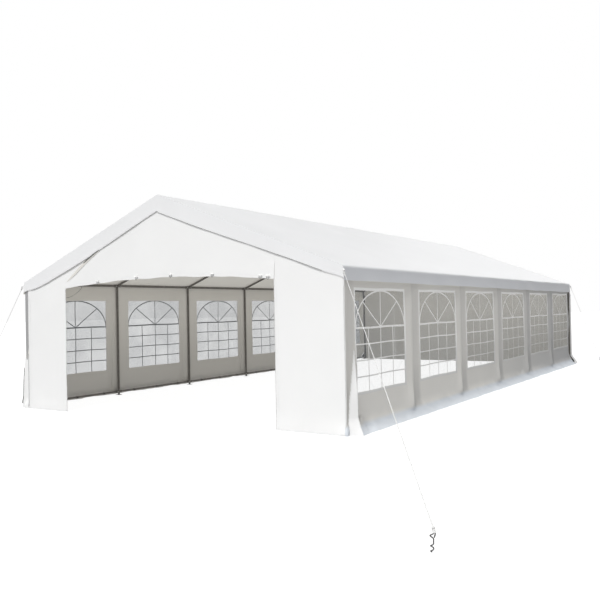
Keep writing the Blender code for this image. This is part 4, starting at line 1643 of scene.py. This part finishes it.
class TENT_OT_guy_ropes(bpy.types.Operator):
    """Stretches the four guy ropes from the cover's corners to their stakes"""

    bl_idname = "tent.guy_ropes"
    bl_label = "Guy Ropes"

    def execute(self, context):
        sizes = context.scene.tent_ropes
        for end_name, end in ENDS.items():
            for side_name, side in SIDES.items():
                self.rope(f"{end_name}_{side_name}", side, end, sizes.radius)
        return {"FINISHED"}

    def rope(self, corner, side, end, radius):
        """A rope from the cover's corner to its stake's knot, where the plain rope of the frame ends."""
        low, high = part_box(f"{corner}_guy_rope")
        foot = Vector((high.x if side > 0 else low.x, high.y if end > 0 else low.y, low.z + KNOT_RADIUS))
        foot.x -= side * KNOT_RADIUS
        if abs(foot.y) > HALF_LENGTH + 0.3:
            foot.y -= end * KNOT_RADIUS
        else:
            foot.y = middle_of(f"{corner}_stake").y
        top = Vector((side * (HALF_SPAN + ROPE_OUT), end * (HALF_LENGTH + ROPE_OUT), ROPE_TOP))
        run = foot - top
        path = [tuple(top + run * share) for share in np.linspace(0, 1, 40)]
        parts = [tube_object("line", path, radius, finish("guy_cord"), sides=10)]
        parts.append(self.hitch(top, run.normalized(), radius))
        parts.append(self.hitch(foot, -run.normalized(), radius))
        rope = joined(f"{corner}_guy_line", parts)
        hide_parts(f"{corner}_guy_rope")
        settle(rope)

    def hitch(self, place, direction, radius):
        """A knot of several turns round the rope, with the loop before it and a short tail."""
        turns = []
        side = direction.orthogonal().normalized()
        other = direction.cross(side)
        start, length, count = HITCH
        for share in np.linspace(0, 1, 46):
            angle = share * 2 * math.pi * count
            out = radius * (1.9 + 0.25 * math.sin(5 * share))
            centre = place + direction * (start + share * length)
            turns.append(tuple(centre + (side * math.cos(angle) + other * math.sin(angle)) * out))
        tail_end = Vector(turns[-1]) + direction * 0.05 + side * 0.012 + Vector((0, 0, -0.012))
        turns.append(tuple((Vector(turns[-1]) + tail_end) / 2 + side * 0.004))
        turns.append(tuple(tail_end))
        knot = tube_object("turns", turns, radius * 0.92, finish("guy_cord"), sides=8)
        loop = circle(place - direction * 0.004, direction * 0.016, side * 0.010, 20)
        loop = tube_object("loop", loop, radius * 0.9, finish("guy_cord"), sides=8, closed=True)
        return joined("hitch", [knot, loop])


class TENT_OT_stakes(bpy.types.Operator):
    """Winds the four corkscrew stakes"""

    bl_idname = "tent.stakes"
    bl_label = "Corkscrew Stakes"

    def execute(self, context):
        for end_name, end in ENDS.items():
            for side_name in SIDES:
                name = f"{end_name}_{side_name}_stake"
                self.stake(name, end, context.scene.tent_ropes.stake_segments)
        return {"FINISHED"}

    def stake(self, name, end, segments):
        """A stake wound from the ground up, where the frame's plain one stands."""
        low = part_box(name)[0]
        turn = math.radians(STAKE_TURN) + (math.pi if end > 0 else 0.0)
        path = []
        turns, radius, top = STAKE_SCREW
        count = round(turns * segments)
        for step in range(count + 1):
            angle = 2 * math.pi * (step - count) / segments
            height = STAKE_ROD + (top - STAKE_ROD) * step / count
            path.append((radius * (math.cos(angle) - 1), radius * math.sin(angle), height))
        handle = smooth_path([(x, 0, z) for x, z in STAKE_HANDLE], 0.003)
        path += [tuple(point) for point in handle]
        rod = tube_object(f"{name}_rod", path, STAKE_ROD, finish("stake_steel"), sides=12)
        reach = [Matrix.Rotation(turn, 3, "Z") @ Vector(point) for point in path]
        corner = [min(point[axis] for point in reach) - STAKE_ROD for axis in (0, 1)]
        offset = Vector((low.x - corner[0], low.y - corner[1], 0))
        rod.data.transform(Matrix.Translation(offset) @ Matrix.Rotation(turn, 4, "Z"))
        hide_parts(name)
        settle(rod)


class TENT_OT_stage(bpy.types.Operator):
    """Sets the pale floor, the soft light and the camera"""

    bl_idname = "tent.stage"
    bl_label = "Stage"

    def execute(self, context):
        settings = context.scene.tent_stage
        self.floor(settings)
        self.sky(context, settings)
        self.lights(settings)
        self.camera(context)
        context.scene.view_settings.view_transform = "Standard"
        return {"FINISHED"}

    def floor(self, settings):
        """A wide floor that looks nearly white, and gives the tent its own soft light from below."""
        squares = steps(-FLOOR_REACH, FLOOR_REACH, 20)
        floor = grid_object("floor", squares, squares, lambda x, y: (x, y, 0 * x - 0.0005), (0, 0, 1))
        material, tree = new_material("pale_floor")
        mottle = add_node(tree, "ShaderNodeTexNoise", Scale=0.6, Detail=3.0).outputs["Fac"]
        seen = tree.nodes.new("ShaderNodeLightPath").outputs["Is Camera Ray"]
        glow = add_node(tree, "ShaderNodeMix", Factor=seen, A=self.glow(tree, settings), B=FLOOR_SEEN)
        set_shader(
            material,
            base_color=ramp_between(tree, mottle, (0.19, 0.19, 0.19), (0.20, 0.20, 0.20)),
            roughness=0.9,
            specular_ior_level=0.1,
            emission_color=(1, 1, 1, 1),
            emission_strength=glow.outputs["Result"],
        )
        floor.data.materials.append(material)

    def glow(self, tree, settings):
        """The light that the floor gives: most near the front right corner, and less along the right wall."""
        parts = coordinates(tree)
        away = compared(tree, "DISTANCE", object_place(tree), GLOW_PLACE)
        fall = map_range(tree, away, 2.5, 9.5, settings.floor_glow * 1.08, settings.floor_glow * 0.80)
        beside = map_range(tree, parts["X"], end=10.0)
        along_wall = level_ramp(tree, beside, ((0.30, 0.0), (0.33, 1.0), (0.50, 1.0), (0.75, 0.0)))
        farther = map_range(tree, parts["Y"], -3.0, 6.0, high=-0.72)
        return calculated(tree, "MULTIPLY", fall, calculated(tree, "MULTIPLY_ADD", along_wall, farther, 1.0))

    def sky(self, context, settings):
        """White behind the tent, and a soft light that comes mostly from above and the front."""
        world = bpy.data.worlds.new("soft_sky")
        context.scene.world = world
        world.use_nodes = True
        tree = world.node_tree
        tree.nodes.clear()
        place = tree.nodes.new("ShaderNodeTexCoord").outputs["Generated"]
        toward = compared(tree, "DOT_PRODUCT", place, SKY_FROM)
        level = map_range(tree, toward, low=0.01, high=settings.sky)
        light = add_node(tree, "ShaderNodeBackground", Color=(0.97, 0.985, 1.0, 1), Strength=level)
        white = add_node(tree, "ShaderNodeBackground", Color=(1, 1, 1, 1), Strength=1.0)
        seen = tree.nodes.new("ShaderNodeLightPath").outputs["Is Camera Ray"]
        mix = add_node(tree, "ShaderNodeMixShader", Fac=seen)
        tree.links.new(light.outputs["Background"], mix.inputs[1])
        tree.links.new(white.outputs["Background"], mix.inputs[2])
        add_node(tree, "ShaderNodeOutputWorld", Surface=mix.outputs["Shader"])

    def lights(self, settings):
        """A light from above the front, and a weak one from low behind."""
        self.lamp("key_light", settings.key, 18, (1.0, 0.995, 0.985), KEY_FROM)
        self.lamp("back_light", settings.back, 50, (1.0, 1.0, 1.0), BACK_FROM)

    def lamp(self, name, energy, width, colour, toward):
        """Hangs up a light as wide as that many degrees of the sky, which shines from that direction."""
        light = bpy.data.lights.new(name, "SUN")
        light.energy = energy
        light.angle = math.radians(width)
        light.color = colour
        lamp = bpy.data.objects.new(name, light)
        lamp.rotation_euler = Vector(toward).to_track_quat("Z", "Y").to_euler()
        bpy.context.scene.collection.objects.link(lamp)

    def camera(self, context):
        """The photograph's viewpoint."""
        yaw, pitch, roll = CAMERA_TURN
        level = math.cos(pitch)
        forward = Vector((-math.sin(yaw) * level, math.cos(yaw) * level, math.sin(pitch)))
        right = Vector((math.cos(yaw), math.sin(yaw), 0))
        up = right.cross(forward)
        right, up = (
            math.cos(roll) * right + math.sin(roll) * up,
            math.cos(roll) * up - math.sin(roll) * right,
        )
        data = bpy.data.cameras.new("view_camera")
        data.sensor_width = FILM_WIDTH
        data.lens = CAMERA_LENS * FILM_WIDTH
        data.clip_end = 400
        camera = bpy.data.objects.new("view_camera", data)
        turn = Matrix((right, up, -forward)).transposed()
        camera.matrix_world = Matrix.Translation(CAMERA_PLACE) @ turn.to_4x4()
        context.scene.collection.objects.link(camera)
        context.scene.camera = camera


SETTINGS = {
    "tent_cloth": TentClothSettings,
    "tent_windows": TentWindowSettings,
    "tent_ropes": TentRopeSettings,
    "tent_colours": TentColourSettings,
    "tent_stage": TentStageSettings,
}
OPERATORS = (
    TENT_OT_stage,
    TENT_OT_guy_ropes,
    TENT_OT_stakes,
    TENT_OT_frame,
    TENT_OT_cover,
    TENT_OT_side_walls,
    TENT_OT_windows,
    TENT_OT_end_walls,
    TENT_OT_ties,
)


class TENT_PT_pieces(bpy.types.Panel):
    """Lists the tent's pieces and their sizes and colours"""

    bl_idname = "TENT_PT_pieces"
    bl_label = "Marquee Tent"
    bl_space_type = "VIEW_3D"
    bl_region_type = "UI"
    bl_category = "Tent"

    def draw(self, context):
        for operator in OPERATORS:
            self.layout.operator(operator.bl_idname, text=operator.bl_label)
        for name, kind in SETTINGS.items():
            box = self.layout.box()
            settings = getattr(context.scene, name)
            for prop in kind.__annotations__:
                box.prop(settings, prop)


CLASSES = (*SETTINGS.values(), *OPERATORS, TENT_PT_pieces)


def register():
    for cls in CLASSES:
        bpy.utils.register_class(cls)
    for name, kind in SETTINGS.items():
        setattr(bpy.types.Scene, name, PointerProperty(type=kind))


def unregister():
    for name in SETTINGS:
        delattr(bpy.types.Scene, name)
    for cls in reversed(CLASSES):
        bpy.utils.unregister_class(cls)


def main():
    register()
    for operator in OPERATORS:
        group, name = operator.bl_idname.split(".")
        getattr(getattr(bpy.ops, group), name)()


if __name__ == "__main__":
    main()
